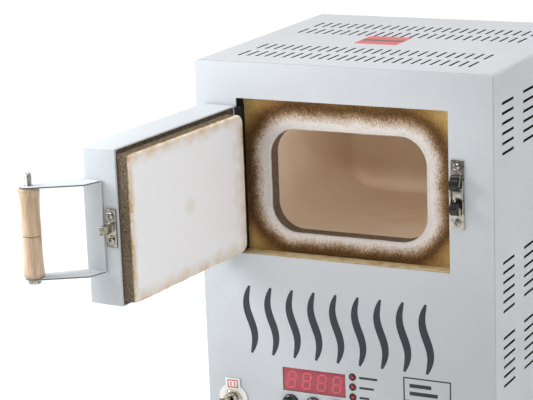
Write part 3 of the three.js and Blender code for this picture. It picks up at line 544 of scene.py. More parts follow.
def tipped(rings, low, high):
    """A solid about Z from those rings, closed at a point on the axis at each end."""
    start, end = ([Vector((0, 0, level))] * len(rings[0]) for level in (low, high))
    return welded(skin([start] + rings + [end], closed=False))


def quarter(steps):
    """Sine and cosine of equal steps up to a right angle, without the first at 0."""
    angles = [TAU / 4 * i / steps for i in range(1, steps + 1)]
    return [(math.sin(a), math.cos(a)) for a in angles]


def spun(profile, sides):
    turn = [i * TAU / sides for i in range(sides)]
    return [[Vector((r * math.cos(a), r * math.sin(a), height)) for a in turn] for r, height in profile]


def turned_solid(profile, sides):
    """A solid of revolution about Z. The profile's (radius, height) points start and end on the axis."""
    return welded(skin(spun(profile, sides), closed=False))


def turned_ring(profile, sides):
    """The same for a closed profile that stays off the axis."""
    return skin(spun(profile, sides))


def rounded(profile, radius, steps=4):
    """The same outline, each corner cut by a curve that starts at most radius from it."""
    points = [Vector(p) for p in profile]
    out = [points[0]]
    for before, corner, after in zip(points, points[1:], points[2:]):
        a, b = before - corner, after - corner
        reach = min(radius, a.length * 0.45, b.length * 0.45)
        start, end = corner + a.normalized() * reach, corner + b.normalized() * reach
        for i in range(steps + 1):
            t = i / steps
            out.append(start * (1 - t) ** 2 + corner * 2 * t * (1 - t) + end * t * t)
    return out + [points[-1]]


def aimed(at, toward):
    """Takes +Z to the direction toward, and the origin to at."""
    return Matrix.Translation(at) @ Vector(toward).to_track_quat("Z", "Y").to_matrix().to_4x4()


def facing(at, y):
    """Takes +Z to the kiln's front, and the origin to at, moved to the depth y."""
    return aimed((at.x, y, at.z), (0, -1, 0))


def standing(at, z):
    return Matrix.Translation((at.x, at.y, z))


def moved(bm, matrix):
    bmesh.ops.transform(bm, matrix=matrix, verts=bm.verts)
    return bm


def merged(*parts):
    """Several bmeshes as one."""
    whole = parts[0]
    for part in parts[1:]:
        mesh = bpy.data.meshes.new("part")
        part.to_mesh(mesh)
        part.free()
        whole.from_mesh(mesh)
        bpy.data.meshes.remove(mesh)
    return whole


def block(low, high, edge=0.0):
    bm = bmesh.new()
    bmesh.ops.create_cube(bm, size=1)
    size, at = Vector(high) - Vector(low), (Vector(high) + Vector(low)) / 2
    moved(bm, Matrix.Translation(at) @ Matrix.Diagonal((*size, 1)))
    if edge:
        bevelled(bm, bm.edges, edge, 3)
    return bm


def from_node(node, edge, segments=2, where=None):
    """The CAD node's shape with its corners rounded: flat faces are made whole, then edges are bevelled."""
    bm = bmesh.new()
    bm.from_mesh(frame["nodes"][node].data)
    welded(bm, 2e-6)
    bmesh.ops.dissolve_limit(bm, angle_limit=math.radians(0.6), verts=bm.verts, edges=bm.edges)
    least = math.radians(40)
    folds = [e for e in bm.edges if len(e.link_faces) == 2 and e.calc_face_angle(0) > least]
    chosen = [e for e in folds if where is None or where((e.verts[0].co + e.verts[1].co) / 2)]
    if edge and chosen:
        bevelled(bm, chosen, edge, segments)
    return bm


def softened(node, edge, material, slot, body="casing", segments=2, **more):
    """The piece that stands for one CAD node, in the node's own shape with softened edges."""
    stand_in(node, from_node(node, edge, segments), material, slot, body, **more)


def corner_ring(x0, x1, z0, z1, radii, y, per_side=22, per_corner=14):
    """A rounded rectangle in X and Z. Radii are for bottom right, top right, top left and bottom left."""
    corners = ((x1, z0, -1, 1), (x1, z1, -1, -1), (x0, z1, 1, -1), (x0, z0, 1, 1))
    arcs = []
    for k, ((x, z, to_x, to_z), radius) in enumerate(zip(corners, radii)):
        centre = Vector((x + to_x * radius, 0, z + to_z * radius))
        start = -TAU / 4 + k * TAU / 4
        angles = [start + TAU / 4 * i / per_corner for i in range(per_corner + 1)]
        arcs.append([centre + Vector((math.cos(a), 0, math.sin(a))) * radius for a in angles])
    points = []
    for arc, following in zip(arcs, arcs[1:] + arcs[:1]):
        points += arc
        points += [arc[-1].lerp(following[0], i / per_side) for i in range(1, per_side)]
    return [Vector((p.x, y, p.z)) for p in points]


def box_ring(low, high, inset, radii, y, *counts):
    """The same round a box, drawn in by inset."""
    return corner_ring(low.x + inset, high.x - inset, low.z + inset, high.z - inset, radii, y, *counts)


def closing(ring, centre, steps):
    """Rings that shrink from that one to its centre."""
    return [[p.lerp(centre, i / steps) for p in ring] for i in range(1, steps + 1)]


def roughened(bm, size, depth, keep, octaves=4, seed=0.0):
    """Moves each vertex along its normal by fractal noise; keep(point) is the share of the depth there."""
    bm.normal_update()
    offset = Vector((seed, seed * 1.7, -seed))
    moves = []
    for v in bm.verts:
        level = noise.fractal(v.co / size + offset, 0.6, 2.1, octaves)
        moves.append(v.normal * (level * depth * keep(v.co)))
    for v, move in zip(bm.verts, moves):
        v.co += move


# ---- casing ----
def build_casing(paint, cover_paint, zinc):
    def outer_rim(point):
        near = 0.4 * MM
        near_outline = abs(point.x) > HALF - near or point.z > TOP - near or point.z < BASE + near
        return near_outline and point.y < FRONT + 0.3 * MM

    panel = from_node("front_panel", 1.3 * MM, 4, where=outer_rim)
    stand_in("front_panel", panel, paint, "casing_paint")
    softened("cover", 0, cover_paint, "casing_paint", sharp=38)
    softened("back_panel", 0.25 * MM, paint, "casing_paint")
    softened("base_plate", 0.3 * MM, zinc, "zinc_sheet")


def build_feet(material):
    for node in ("foot_front_left", "foot_front_right", "foot_back_left", "foot_back_right"):
        low, high, at = extent(node)
        radius, height, hollow = (high.y - low.y) / 2, high.z - low.z, 0.8 * MM
        outline = [(0, hollow), (radius * 0.45, hollow), (radius * 0.5, 0), (radius * 0.86, 0)]
        outline += [(radius * 0.93, height * 0.3), (radius * 0.93, height * 0.62)]
        outline += [(radius, height * 0.7), (radius, height), (0, height)]
        foot = moved(turned_solid(rounded(outline, 0.8 * MM), 56), standing(at, low.z))
        stand_in(node, foot, material, "feet_rubber")


# ---- hot part ----
def build_front_board(material):
    front, back = board_low.y, board_high.y

    def mouth(y, grown=0.0):
        half = MOUTH_HALF + grown
        sill, lintel = MOUTH_MIDDLE - MOUTH_RISE - grown, MOUTH_MIDDLE + MOUTH_RISE + grown
        return corner_ring(-half, half, sill, lintel, [MOUTH_CORNER + grown] * 4, y)

    def outline(y):
        return box_ring(board_low, board_high, 0, [2 * MM] * 4, y)

    lip = 1.6 * MM
    rings = [mouth(back - (back - front - lip) * i / 8) for i in range(9)]
    rings += [mouth(front + lip * (1 - sine), lip * (1 - cosine)) for sine, cosine in quarter(5)]
    bands, pairs = 26, list(zip(mouth(front, lip), outline(front)))
    rings += [[a.lerp(b, (i / bands) ** 1.15) for a, b in pairs] for i in range(1, bands + 1)]
    rings.append(outline(back))
    board = skin(rings)

    def loose(point):
        inside = min(board_high.x - abs(point.x), point.z - board_low.z, board_high.z - point.z)
        return 1.0 if inside > 2 * MM and point.y < back - 1 * MM else 0.0

    roughened(board, 1.6 * MM, 0.16 * MM, loose)
    roughened(board, 14 * MM, 0.25 * MM, loose, 2, 5.0)
    for v in board.verts:
        v.co.y = max(v.co.y, front)
    stand_in("front_board", board, material, "front_fibre", sharp=60)


def build_muffle(material):
    low, high, centre = extent("muffle")
    wall = 20 * MM
    half, rise = high.x - wall, (high.z - low.z) / 2 - wall
    back = high.y - wall
    corner, fillet = 22 * MM, 9 * MM

    def cavity(y, inset=0.0):
        bounds = (-half + inset, half - inset, centre.z - rise + inset, centre.z + rise - inset)
        return corner_ring(*bounds, [max(corner - inset, 2 * MM)] * 4, y)

    straight = back - fillet - low.y
    rings = [box_ring(low, high, 0, [1 * MM] * 4, y) for y in (high.y, low.y)]
    rings += [cavity(low.y + straight * i / 24) for i in range(25)]
    rings += [cavity(back - fillet * (1 - sine), fillet * (1 - cosine)) for sine, cosine in quarter(7)]
    rings += closing(rings[-1], Vector((0, back, centre.z)), 12)
    lining = capped(welded(skin(rings, closed=False), 1e-6))

    def in_cavity(point):
        slack = 1 * MM
        beside = abs(point.x) < half + slack and abs(point.z - centre.z) < rise + slack
        return 1.0 if beside and low.y + slack < point.y < back + slack else 0.0

    roughened(lining, 26 * MM, 0.7 * MM, in_cavity, 3)
    roughened(lining, 4 * MM, 0.12 * MM, in_cavity, 2, 3.0)
    stand_in("muffle", lining, material, "chamber_fibre", sharp=70)


def build_thermocouple(material):
    low, high, at = extent("thermocouple")
    tip, radius = low.y, 2 * MM
    profile = rounded([(0, 0), (radius, 0), (radius, 50 * MM), (0, 50 * MM)], 1.2 * MM)
    sheath = moved(turned_solid(profile, 32), aimed((at.x, tip, at.z), (0, 1, 0)))
    head = block((low.x, tip + 45.2 * MM, low.z), high, 1.2 * MM)
    stand_in("thermocouple", merged(sheath, head), material, "ceramic")


# ---- door ----
def build_door(paint, fibre, dark_edge_metal):
    shell = moved(from_node("door_shell", 0), DOOR_TURN.inverted())
    bmesh.ops.dissolve_limit(shell, angle_limit=math.radians(1), verts=shell.verts, edges=shell.edges)

    def outside(vertex):
        near, point = 0.2 * MM, vertex.co
        on_x = min(abs(point.x - SHELL_LOW.x), abs(point.x - SHELL_HIGH.x)) < near
        return on_x or min(abs(point.z - SHELL_LOW.z), abs(point.z - SHELL_HIGH.z)) < near

    outer = [e for e in shell.edges if e.calc_face_angle(0) > 1 and all(outside(v) for v in e.verts)]
    bevelled(shell, outer, 1.0 * MM, 4, clamp=False)
    stand_in("door_shell", shell, paint, "door_paint", "door", turned=True)
    place("door_plug", plug_shape(), fibre, "door", "door_insulation", "door_fibre", turned=True, sharp=70)
    build_handle(paint, dark_edge_metal)


def plug_shape():
    """The part of the insulation that stands out of the shell, and its flat base just inside the rim."""
    low, high = PLUG_EDGE_LOW, PLUG_EDGE_HIGH
    soft = 1.7 * MM
    rim = SHELL_HIGH.y
    around = (34, 8)  # points along a side and round a corner

    def outline(y, inset=0.0):
        radii = [max(r - inset, 0.6 * MM) for r in (2.2 * MM, 2.2 * MM, 7 * MM, 7 * MM)]
        return box_ring(low, high, inset, radii, y, *around)

    def base(y):
        return box_ring(SHELL_LOW, SHELL_HIGH, 1.6 * MM, [1 * MM] * 4, y, *around)

    def centre(y):
        return Vector(((low.x + high.x) / 2, y, (low.z + high.z) / 2))

    depth = SHELL_LOW.y + 1.6 * MM
    rings = [[p.lerp(centre(depth), 1 - i / 3) for p in base(depth)] for i in range(4)]
    rings.append(base(rim - 0.5 * MM))
    rings += [outline(rim - 0.5 * MM + (high.y - soft - rim + 0.5 * MM) * i / 14) for i in range(15)]
    rings += [outline(high.y - soft * (1 - sine), soft * (1 - cosine)) for sine, cosine in quarter(5)]
    rings += closing(rings[-1], centre(high.y), 24)
    plug = welded(skin(rings, closed=False), 1e-6)

    def on_side(point):
        if point.y < rim:
            return 0.0
        return 1.0 if point.y < high.y - 0.3 * MM else 0.25

    roughened(plug, 1.5 * MM, 0.5 * MM, lambda p: on_side(p) * min(1.0, 0.15 + (high.y - p.y) / (4 * MM)))
    roughened(plug, 7 * MM, 0.15 * MM, on_side, 3, 4.0)
    for v in plug.verts:
        v.co.y = min(v.co.y, high.y)
    return plug


def build_handle(paint, dark_edge_metal):
    bracket = from_node("handle_bracket", 0)
    thin = 1.6 * MM
    # the bracket's thin upright faces, the strip's edges, take the darker metal
    for face in bracket.faces:
        upright = abs(face.normal.z) < 0.5
        heights = [v.co.z for v in face.verts]
        face.material_index = 1 if upright and max(heights) - min(heights) < thin else 0
    bent = [e for e in bracket.edges if e.calc_face_angle(0) > 0.7]
    bevelled(bracket, bent, 0.22 * MM, 2, clamp=False)
    stand_in("handle_bracket", bracket, paint, "door_paint", "door", extra=(dark_edge_metal,))
    low, high, axis = extent("handle_grip", on_door=True)
    length, end_radius = high.z - low.z, (high.x - low.x) / 2 - 0.1 * MM
    bore, pocket, waist = 2.8 * MM, 5 * MM, 6.55 * MM
    profile = [(bore, 0), (end_radius - 0.8 * MM, 0)]
    for i in range(1, 72):
        share = i / 72
        bulge = abs(2 * share - 1) ** 3
        belly = 0.3 * MM * math.exp(-(((share - 0.5) / 0.12) ** 2))
        radius = waist + (end_radius - waist) * bulge + belly
        groove = max(0.0, 1 - abs(share - GRIP_GROOVE) / 0.014)
        ends = min(share, 1 - share) / 0.03
        radius -= 0.7 * MM * groove + 0.8 * MM * max(0.0, 1 - ends) ** 2
        profile.append((radius, share * length))
    floor = length - 4.2 * MM
    profile += [(end_radius - 0.8 * MM, length), (pocket, length), (pocket, floor), (bore, floor)]
    grip = moved(turned_ring(profile, 72), DOOR_TURN @ standing(axis, low.z))
    stand_in("handle_grip", grip, beech(), "grip_wood", "door", sharp=40)


def hexagon(radius, height, chamfer, bore=0.0):
    """A hex head or nut about Z, its corners cut by a cone as a turned nut's are."""
    sides, steps = 6, 10
    flat = radius * math.cos(TAU / 12)

    def ring(level, limit):
        points = []
        for i in range(sides * steps):
            angle = TAU * i / (sides * steps)
            in_side = (angle % (TAU / sides)) - TAU / (2 * sides)
            reach = min(flat / math.cos(in_side), limit)
            points.append(Vector((math.cos(angle), math.sin(angle), 0)) * reach)
            points[-1].z = level
        return points

    rise, cut = chamfer * 0.55, flat - 0.1 * MM
    rings = [ring(0, cut), ring(rise, radius), ring(height - rise, radius), ring(height, cut)]
    if bore:
        hole = [p.normalized() * bore for p in ring(0, radius)]
        return skin([hole] + rings + [[p + Vector((0, 0, height)) for p in hole]])
    return tipped(rings, 0, height)


def threaded(radius, depth, pitch, length):
    """A screw thread about Z, from 0 to length, with a chamfered end."""
    sides, point = 28, 0.8 * MM
    steps = max(4, round(length / pitch * 8))
    rings = []
    for j in range(steps + 1):
        height = length * j / steps
        ring = []
        for i in range(sides):
            turn = i / sides
            phase = (height / pitch - turn) % 1
            crest = radius - depth * abs(2 * phase - 1)
            crest -= max(0.0, height - length + point) * 0.7
            angle = TAU * turn
            ring.append(Vector((crest * math.cos(angle), crest * math.sin(angle), height)))
        rings.append(ring)
    return tipped(rings, 0, length)


def build_handle_fasteners(steel):
    low, high, at = extent("handle_bolt", on_door=True)
    shank_start = 2.9 * MM
    shank = threaded(2.45 * MM, 0.42 * MM, 1.25 * MM, high.z - low.z - shank_start)
    moved(shank, Matrix.Translation((0, 0, shank_start)))
    bolt = merged(hexagon(4.6 * MM, 3.2 * MM, 0.6 * MM), shank)
    stand_in("handle_bolt", moved(bolt, DOOR_TURN @ standing(at, low.z)), steel, "steel", "door")
    low, high, _ = extent("handle_nut", on_door=True)
    nut = hexagon(4.55 * MM, high.z - low.z, 0.6 * MM, 2.55 * MM)
    stand_in("handle_nut", moved(nut, DOOR_TURN @ standing(at, low.z)), steel, "steel", "door")


# ---- screws ----
def pan_head(radius, height):
    """A pan head about Z with a cross recess, as a fine height field over a disc."""
    sides, steps = 64, 22
    arm, half_width, sunk = radius * 0.56, radius * 0.17, height * 0.55

    def level(x, y):
        r = math.hypot(x, y) / radius
        dome = height * (1 - 0.28 * r ** 2) if r < 0.8 else height * (0.82 - 3.2 * (r - 0.8) ** 1.3)
        a, b = abs(x), abs(y)
        slot_a = max(a - half_width, b - arm)
        slot_b = max(b - half_width, a - arm)
        wall = min(max(-min(slot_a, slot_b) / (0.12 * radius), 0), 1)
        return dome - sunk * wall

    rings = []
    for j in range(steps, 0, -1):
        r = radius * j / steps
        ring = []
        for i in range(sides):
            x, y = r * math.cos(TAU * i / sides), r * math.sin(TAU * i / sides)
            ring.append(Vector((x, y, max(level(x, y), 0.15 * height))))
        rings.append(ring)
    foot = [Vector((p.x, p.y, 0)) for p in rings[0]]
    return tipped([foot] + rings, 0, level(0, 0))


def build_screws(steel):
    rows = [(f"catch_screw_{level}", (0, -1, 0), False) for level in ("upper", "lower")]
    rows += [(f"striker_screw_{level}", (1, 0, 0), True) for level in ("upper", "lower")]
    for level in ("upper", "lower"):
        rows += [(f"back_screw_{level}_{side}", (0, 1, 0), False) for side in ("left", "right")]
    for index, (node, direction, on_door) in enumerate(rows):
        low, high, at = extent(node, on_door)
        toward = Vector(direction)
        thick = abs((high - low).dot(toward))
        head = pan_head((high.z - low.z) / 2, thick)
        twist = Matrix.Rotation(0.5 + 1.3 * index, 4, "Z")
        moved(head, aimed(at - toward * thick / 2, toward) @ twist)
        stand_in(node, head, steel, "steel", "door" if on_door else "casing", turned=on_door, sharp=30)


# ---- catch, striker and hinge ----
def build_catch(nickel, black):
    for node in ("catch_plate", "catch_arm_upper", "catch_arm_lower"):
        body = "casing" if node == "catch_plate" else node
        softened(node, 0.16 * MM, nickel, "nickel_plate", body)
    for node in ("catch_roller_upper", "catch_roller_lower"):
        low, high, at = extent(node)
        radius, width = (high.z - low.z) / 2, high.x - low.x
        bore, shoulder = 1.25 * MM, radius - 0.1 * MM
        profile = [(bore, 0), (shoulder, 0), (radius, 0.3 * MM)]
        profile += [(radius, width - 0.3 * MM), (shoulder, width), (bore, width)]
        roller = turned_ring(rounded(profile, 0.35 * MM), 56)
        moved(roller, aimed((low.x, at.y, at.z), (1, 0, 0)))
        stand_in(node, roller, black, "roller_rubber", node)
    softened("striker_plate", 0.3 * MM, nickel, "nickel_plate", "door", 3)


def build_jamb_lining(black, cream):
    """A black strip behind the hinge, as tall as the opening, and a pale bead along the sill."""
    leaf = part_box("hinge_jamb_leaf")[0].x
    sill, lintel = BASE + 163.9 * MM, BASE + 284.5 * MM
    front, back = FRONT + 0.6 * MM, FRONT + 10.5 * MM
    strip = block((leaf - 0.3 * MM, front, sill), (leaf + 0.5 * MM, back, lintel))
    place("hinge_backing_strip", strip, black, "casing", slot="hinge_black")
    reach = -leaf - 0.5 * MM
    section = rounded([(0, 0), (0, 0.9 * MM), (10 * MM, 0.9 * MM), (10 * MM, 0)], 0.5 * MM)
    rings = []
    for i in range(81):
        x = -reach + 2 * reach * i / 80
        wave = 0.12 * MM * noise.noise(Vector((x / (6 * MM), 0, 0)))
        heights = [max(z + (wave if z > 0 else 0), 0) for y, z in section]
        rings.append([Vector((x, FRONT + 0.8 * MM + y, sill + up)) for (y, _), up in zip(section, heights)])
    place("sill_bead", capped(skin(rings, closed=False)), cream, "casing", slot="front_fibre")


def build_hinge(black, steel):
    for node, body in (("hinge_jamb_leaf", "casing"), ("hinge_door_leaf", "door")):
        softened(node, 0.15 * MM, black, "hinge_black", body)
    low, high, at = extent("hinge_pin")
    radius, length = (high.y - low.y) / 2, high.z - low.z
    profile = rounded([(0, 0), (radius, 0), (radius, length), (0, length)], 0.4 * MM)
    pin = moved(turned_solid(profile, 24), standing(at, low.z))
    stand_in("hinge_pin", pin, steel, "steel")


# ---- controls ----
def slab(outline, front, back):
    """A flat piece with that outline in X and Z, from y = front to y = back."""
    bm = bmesh.new()
    near = [bm.verts.new((x, front, z)) for x, z in outline]
    far = [bm.verts.new((x, back, z)) for x, z in outline]
    bm.faces.new(near)
    bm.faces.new(list(reversed(far)))
    for i in range(len(outline)):
        j = (i + 1) % len(outline)
        bm.faces.new((near[j], near[i], far[i], far[j]))
    return bm


def bar(x0, x1, z0, z1, front, back):
    return slab([(x0, z0), (x1, z0), (x1, z1), (x0, z1)], front, back)


def frame_of_bars(x0, x1, z0, z1, width, front, back):
    """Four bars round a rectangle."""
    return merged(
        bar(x0, x1, z0, z0 + width, front, back),
        bar(x0, x1, z1 - width, z1, front, back),
        bar(x0, x0 + width, z0 + width, z1 - width, front, back),
        bar(x1 - width, x1, z0 + width, z1 - width, front, back),
    )


def build_display(window, digits):
    low, high, at = extent("display_lens")
    stand_in("display_lens", block(low, high, 0.5 * MM), window, "red_window")
    height, width, stroke, pitch = 14 * MM, 7.8 * MM, 1.5 * MM, 12.7 * MM
    slant = math.tan(math.radians(8))
    front, back = low.y - 0.03 * MM, low.y + 0.2 * MM
    segments = []

    def segment(cx, cz, length, upright):
        half, tip, gap = length / 2, stroke / 2, 0.18 * MM
        along = [(-half + gap, 0), (-half + gap + tip, tip), (half - gap - tip, tip)]
        along += [(half - gap, 0), (half - gap - tip, -tip), (-half + gap + tip, -tip)]
        points = [(b, a) if upright else (a, b) for a, b in along]
        outline = [(cx + a + (cz + b - at.z) * slant, cz + b) for a, b in points]
        segments.append(slab(outline, front, back))

    reach, half_height = width - stroke, (height - stroke) / 2
    for i in range(4):
        cx = at.x + (i - 1.5) * pitch
        for level in (-1, 0, 1):
            segment(cx, at.z + level * half_height, reach, False)
        for side in (-1, 1):
            for level in (-0.5, 0.5):
                segment(cx + side * reach / 2, at.z + level * half_height, half_height, True)
    place("display_segments", merged(*segments), digits, "casing", slot="red_window")


def dome(radius, rise, top, steps):
    """A profile's domed end, from its shoulder to the axis at the height top."""
    shoulder = top - rise
    curve = [(radius * cosine, shoulder + rise * sine) for sine, cosine in quarter(steps)]
    return [(radius, shoulder)] + curve[:-1] + [(0, top)]


def build_lights(red, black):
    for index in (1, 2, 3):
        node = f"led_{index}"
        low, high, at = extent(node)
        depth, radius, flange = high.y - low.y, 2.0 * MM, 2.9 * MM
        profile = [(0, 0), (flange, 0), (flange, 1 * MM), (radius, 1 * MM)]
        profile += dome(radius, radius * 0.8, depth, 8)
        stand_in(node, moved(turned_solid(profile, 40), facing(at, high.y)), red, "led_red")
        ring = [(2.1, 0), (2.95, 0), (2.95, 0.25), (2.7, 0.5), (2.2, 0.5)]
        bezel = turned_ring([(r * MM, h * MM) for r, h in ring], 40)
        place(f"{node}_bezel", moved(bezel, facing(at, FRONT)), black, "casing", slot="dark_plastic")


def build_buttons(black):
    for index in (1, 2, 3):
        node = f"button_{index}"
        low, high, at = extent(node)
        depth = high.y - low.y
        stem, radius, flange = 2.4 * MM, 6.5 * MM, (high.x - low.x) / 2 - 0.1 * MM
        profile = [(0, 0), (stem, 0), (stem, 3.4 * MM), (flange, 3.4 * MM), (flange, 4.6 * MM)]
        profile += [(radius, 4.6 * MM)] + dome(radius, 2.0 * MM, depth, 12)
        button = moved(turned_solid(profile, 64), facing(at, high.y))
        stand_in(node, button, black, "black_gloss_plastic", node, sharp=50)


def build_switch(chrome, steel, white, red):
    softened("switch_body", 0.2 * MM, steel, "steel")
    softened("switch_legend_plate", 0.12 * MM, white, "legend_white")
    low, high, at = extent("switch_legend_plate")
    front, back = low.y - 0.03 * MM, low.y + 0.2 * MM
    left, right = at.x - 4.6 * MM, at.x + 4.6 * MM
    bottom, top = high.z - 7.6 * MM, high.z - 1.2 * MM
    marks = frame_of_bars(left, right, bottom, top, 0.9 * MM, front, back)
    half, margin = 0.55 * MM, 1.7 * MM
    for share in (0.32, 0.68):
        x = left + (right - left) * share
        marks = merged(marks, bar(x - half, x + half, bottom + margin, top - margin, front, back))
    place("switch_legend_marks", marks, red, "casing", slot="legend_white")

    low, high, at = extent("switch_nut")
    nut = hexagon((high.z - low.z) / 2 - 0.05 * MM, high.y - low.y, 0.7 * MM, 6.2 * MM)
    stand_in("switch_nut", moved(nut, facing(at, high.y)), chrome, "chrome")

    pivot = Vector(joints["switch_lever_tilt"]["pos_m"])
    slope = math.radians(16)
    rough = [(0, -3), (1.6, -2.6), (2.65, -1), (2.65, 1), (1.65, 3), (1.65, 5)]
    rough += [(2.3, 12), (2.8, 17), (2.75, 18.6), (2.0, 19.7), (0, 19.9)]
    profile = rounded([(r * MM, h * MM) for r, h in rough], 1.4 * MM, 5)
    lever = moved(turned_solid(profile, 48), aimed(pivot, (0, -math.cos(slope), math.sin(slope))))
    stand_in("switch_lever", lever, chrome, "chrome", "switch_lever", sharp=50)


# ---- the back's inlet and fuse ----
def build_power(black, steel):
    inlet = from_node("power_inlet", 0.4 * MM, 3)
    _, high, recess = extent("power_inlet")
    for face in inlet.faces:
        at = face.calc_center_median()
        in_recess = abs(at.x - recess.x) < 9 * MM and abs(at.z - recess.z) < 6.5 * MM
        behind = high.y - 17 * MM < at.y < high.y - 3.4 * MM
        face.material_index = 1 if in_recess and behind and face.calc_area() < 60 * MM * MM else 0
    stand_in("power_inlet", inlet, black, "dark_plastic", extra=(steel,))
    softened("fuse_holder", 0.3 * MM, black, "dark_plastic", segments=3)


# ---- printed marks: plain strokes and bars with no words ----
def printed(name, shape, material):
    place(name, shape, material, "casing", slot="dark_plastic")


def wavy_stroke(x, low_z, high_z, width, swing, front, back):
    """One upright stroke that sways like rising heat and narrows towards its ends."""
    steps = 40
    rings = []
    for i in range(steps + 1):
        share = i / steps
        centre = Vector((x + swing * math.sin(TAU * share), 0, low_z + (high_z - low_z) * share))
        half = width / 2 * math.sin(math.pi * min(max(share, 0.02), 0.98)) ** 0.4
        lean = swing * TAU / (high_z - low_z) * math.cos(TAU * share)
        across = Vector((1, 0, -lean)).normalized() * half
        left, right = centre - across, centre + across
        corners = ((left, front), (right, front), (right, back), (left, back))
        rings.append([Vector((side.x, y, side.z)) for side, y in corners])
    return capped(skin(rings, closed=False))


def build_prints(charcoal, red):
    front, back = FRONT - 0.03 * MM, FRONT + 0.3 * MM
    count, pitch, left = 9, 18.2 * MM, -80 * MM
    low_z, high_z = BASE + 84 * MM, BASE + 138 * MM
    size = (low_z, high_z, 6.4 * MM, 3.2 * MM, front, back)
    strokes = [wavy_stroke(left + i * pitch, *size) for i in range(count)]
    printed("front_heat_strokes", merged(*strokes), charcoal)

    x0, x1, z0, z1 = 46.4 * MM, 84.6 * MM, BASE + 61 * MM, BASE + 80 * MM
    plate = frame_of_bars(x0, x1, z0, z1, 1.1 * MM, front, back)
    start, half = x0 + 5 * MM, 1.5 * MM
    for level, share in ((0.66, 0.62), (0.34, 0.8)):
        z = z0 + (z1 - z0) * level
        reach = (x1 - x0 - 10 * MM) * share
        plate = merged(plate, bar(start, start + reach, z - half, z + half, front, back))
    printed("front_plate_marks", plate, charcoal)

    lines = []
    for index, length in ((1, 15 * MM), (2, 12 * MM), (3, 8 * MM)):
        at = extent(f"led_{index}")[2]
        start, half = at.x + 5.5 * MM, 0.9 * MM
        lines.append(bar(start, start + length, at.z - half, at.z + half, front, back))
    printed("light_marks", merged(*lines), charcoal)

    x0, x1, y0, y1 = -31 * MM, 4.8 * MM, FRONT + 97 * MM, FRONT + 131 * MM
    label = block((x0, y0, TOP - 0.3 * MM), (x1, y1, TOP + 0.02 * MM))
    place("top_label", label, red, "casing", slot="red_window")


# ---- pieces inside the casing keep their CAD shape ----
def dress(material, *nodes):
    for node in nodes:
        mesh = frame["nodes"][node].data
        mesh.materials.clear()
        mesh.materials.append(material)


def top_label_look():
    look = Graph("top_label_red", {"Roughness": 0.4})
    off = look.math("ABSOLUTE", look.minus(look.axis("Y"), FRONT + 114 * MM))
    wear = look.span(look.noise(3, 4), 0.4, 0.7, 0, 0.3)
    red = look.mix(wear, srgb(206, 92, 92), srgb(186, 84, 86))
    look.paint(look.mix(look.span(off, 3.5 * MM, 3.8 * MM), srgb(104, 78, 82), red))
    look.bump((look.noise(2, 2), 0.02))
    return look.material


def red_window():
    look = Graph("red_window", {"Coat Weight": 0.6, "Coat Roughness": 0.08, "Specular IOR Level": 0.5})
    cloud = look.noise(12, 3)
    look.paint(look.mix(cloud, srgb(168, 44, 62), srgb(150, 36, 52)))
    look.use("Roughness", look.span(look.noise(3, 3), 0.3, 0.7, 0.18, 0.3))
    look.bump((look.noise(6, 2), 0.02))
    return look.material


def circuit_board():
    look = Graph("circuit_board", {"Roughness": 0.35, "Coat Weight": 0.3})
    traces = look.cells(3)
    look.paint(look.mix(look.span(traces, 0.3, 0.35), srgb(18, 72, 44), srgb(30, 96, 58)))
    look.bump((traces, 0.05))
    return look.material


def printed_ink():
    look = Graph("printed_charcoal", {"Specular IOR Level": 0.35})
    speck = look.noise(1.4, 3, 0.6)
    look.paint(look.over(srgb(50, 52, 60), srgb(84, 88, 98), speck, 0.55, 0.75, 0, 0.5))
    look.use("Roughness", look.span(speck, 0.3, 0.7, 0.4, 0.55))
    look.bump((look.noise(2.4, 2), 0.05))
    return look.material


bpy.context.scene.view_settings.view_transform = "Standard"
add_camera()
add_world()
add_lights()
add_floor()

casing_paint = powder_coat("casing_powder_coat", srgb(200, 204, 208))
cover_paint = powder_coat("cover_powder_coat", srgb(200, 204, 208), slotted=True)
door_paint = powder_coat("door_powder_coat", srgb(198, 204, 208))
zinc = metal("zinc_sheet", grey(0.62), 0.42, 0.2, (1, 1, 1))
nickel = metal("nickel", srgb(182, 177, 166), 0.14, 0.12, (1, 1, 1), 0.3, 3.2)
screw_steel = metal("screw_steel", srgb(190, 188, 182), 0.14, 0.1, (1, 1, 1), 0.2, 1.6)
dark_edge_metal = metal("bracket_dark_edge", srgb(120, 118, 116), 0.5)
chrome = metal("chrome", srgb(240, 230, 206), 0.1, 0.08)
bare_steel = metal("bolt_steel", srgb(196, 194, 188), 0.18, 0.1, (1, 1, 1), 0.3, 2.4)
black_rubber = blotched(
    "black_rubber", {"Specular IOR Level": 0.35}, (3, 4, 0.7),
    [(0.35, grey(0.012)), (0.75, grey(0.035))], (0.6, 3, 0.03), (0.3, 0.7, 0.5, 0.75),
)
roller_black = plastic("roller_black", srgb(16, 14, 13), 0.34, 0.01)
hinge_black = metal("hinge_black", srgb(58, 62, 64), 0.5)
gloss_black = plastic("gloss_black_plastic", srgb(22, 23, 26), 0.12, 0.01, 0.6)
matte_black = plastic("matte_black_plastic", srgb(34, 34, 36), 0.45)
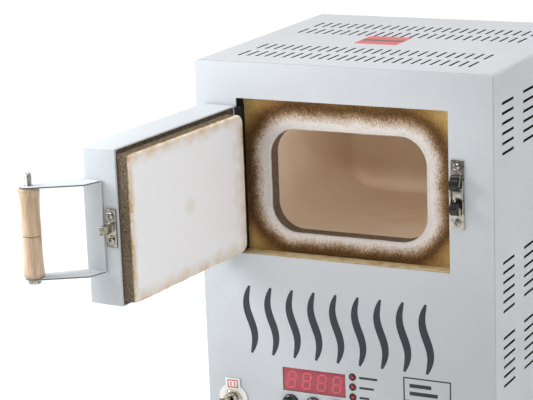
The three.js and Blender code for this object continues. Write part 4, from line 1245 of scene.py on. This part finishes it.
legend_white = plastic("legend_white", srgb(236, 236, 232), 0.42)
ceramic = blotched(
    "glazed_ceramic", {"Roughness": 0.55}, (2, 4, 0.7),
    tones((0.3, 206, 190, 166), (0.7, 232, 220, 200)), (0, 0, 0.05),
)
sill_fibre = blotched(
    "sill_fibre", {"Roughness": 0.9, "Specular IOR Level": 0.2}, (7, 4, 0.6),
    tones((0.42, 204, 184, 144), (0.72, 170, 140, 94)), (0.8, 3, 0.08),
)
segment_red = blotched(
    "segment_red", {"Roughness": 0.4}, (4, 2),
    tones((0, 214, 92, 106), (1, 200, 78, 92)), (1, 2, 0.01),
)
light_red = blotched(
    "light_red", {"Coat Weight": 0.8, "Coat Roughness": 0.05, "Roughness": 0.2}, (1.6, 2),
    tones((0, 178, 20, 30), (1, 112, 10, 20)), (1, 2, 0.01),
)
# the insulation is painted near black: painted shade, so the cover's vents read dark
wool = blotched(
    "ceramic_wool_in_painted_shade", {"Roughness": 0.95, "Specular IOR Level": 0.1}, (1.2, 5, 0.7, (1, 1, 3), 1.5),
    [(0.3, grey(0.012)), (0.7, grey(0.05))], (0, 0, 0.5),
)

build_casing(casing_paint, cover_paint, zinc)
build_feet(black_rubber)
build_front_board(scorched_board())
build_muffle(chamber_fibre())
build_thermocouple(ceramic)
build_door(door_paint, plug_fibre(), dark_edge_metal)
build_handle_fasteners(bare_steel)
build_screws(screw_steel)
build_catch(nickel, roller_black)
build_hinge(hinge_black, bare_steel)
build_jamb_lining(hinge_black, sill_fibre)
build_display(red_window(), segment_red)
build_lights(light_red, matte_black)
build_buttons(gloss_black)
build_switch(chrome, bare_steel, legend_white, plastic("legend_red", srgb(200, 60, 62), 0.4))
build_power(matte_black, nickel)
build_prints(printed_ink(), top_label_look())

dress(wool, *(f"insulation_{side}" for side in ("top", "bottom", "left", "right", "rear")))
dress(metal("heating_wire", srgb(130, 122, 112), 0.55), "heating_coil")
dress(zinc, "heat_shield")
dress(circuit_board(), "control_board")
dress(matte_black, "display_module", "relay")
dress(ceramic, "terminal_block")
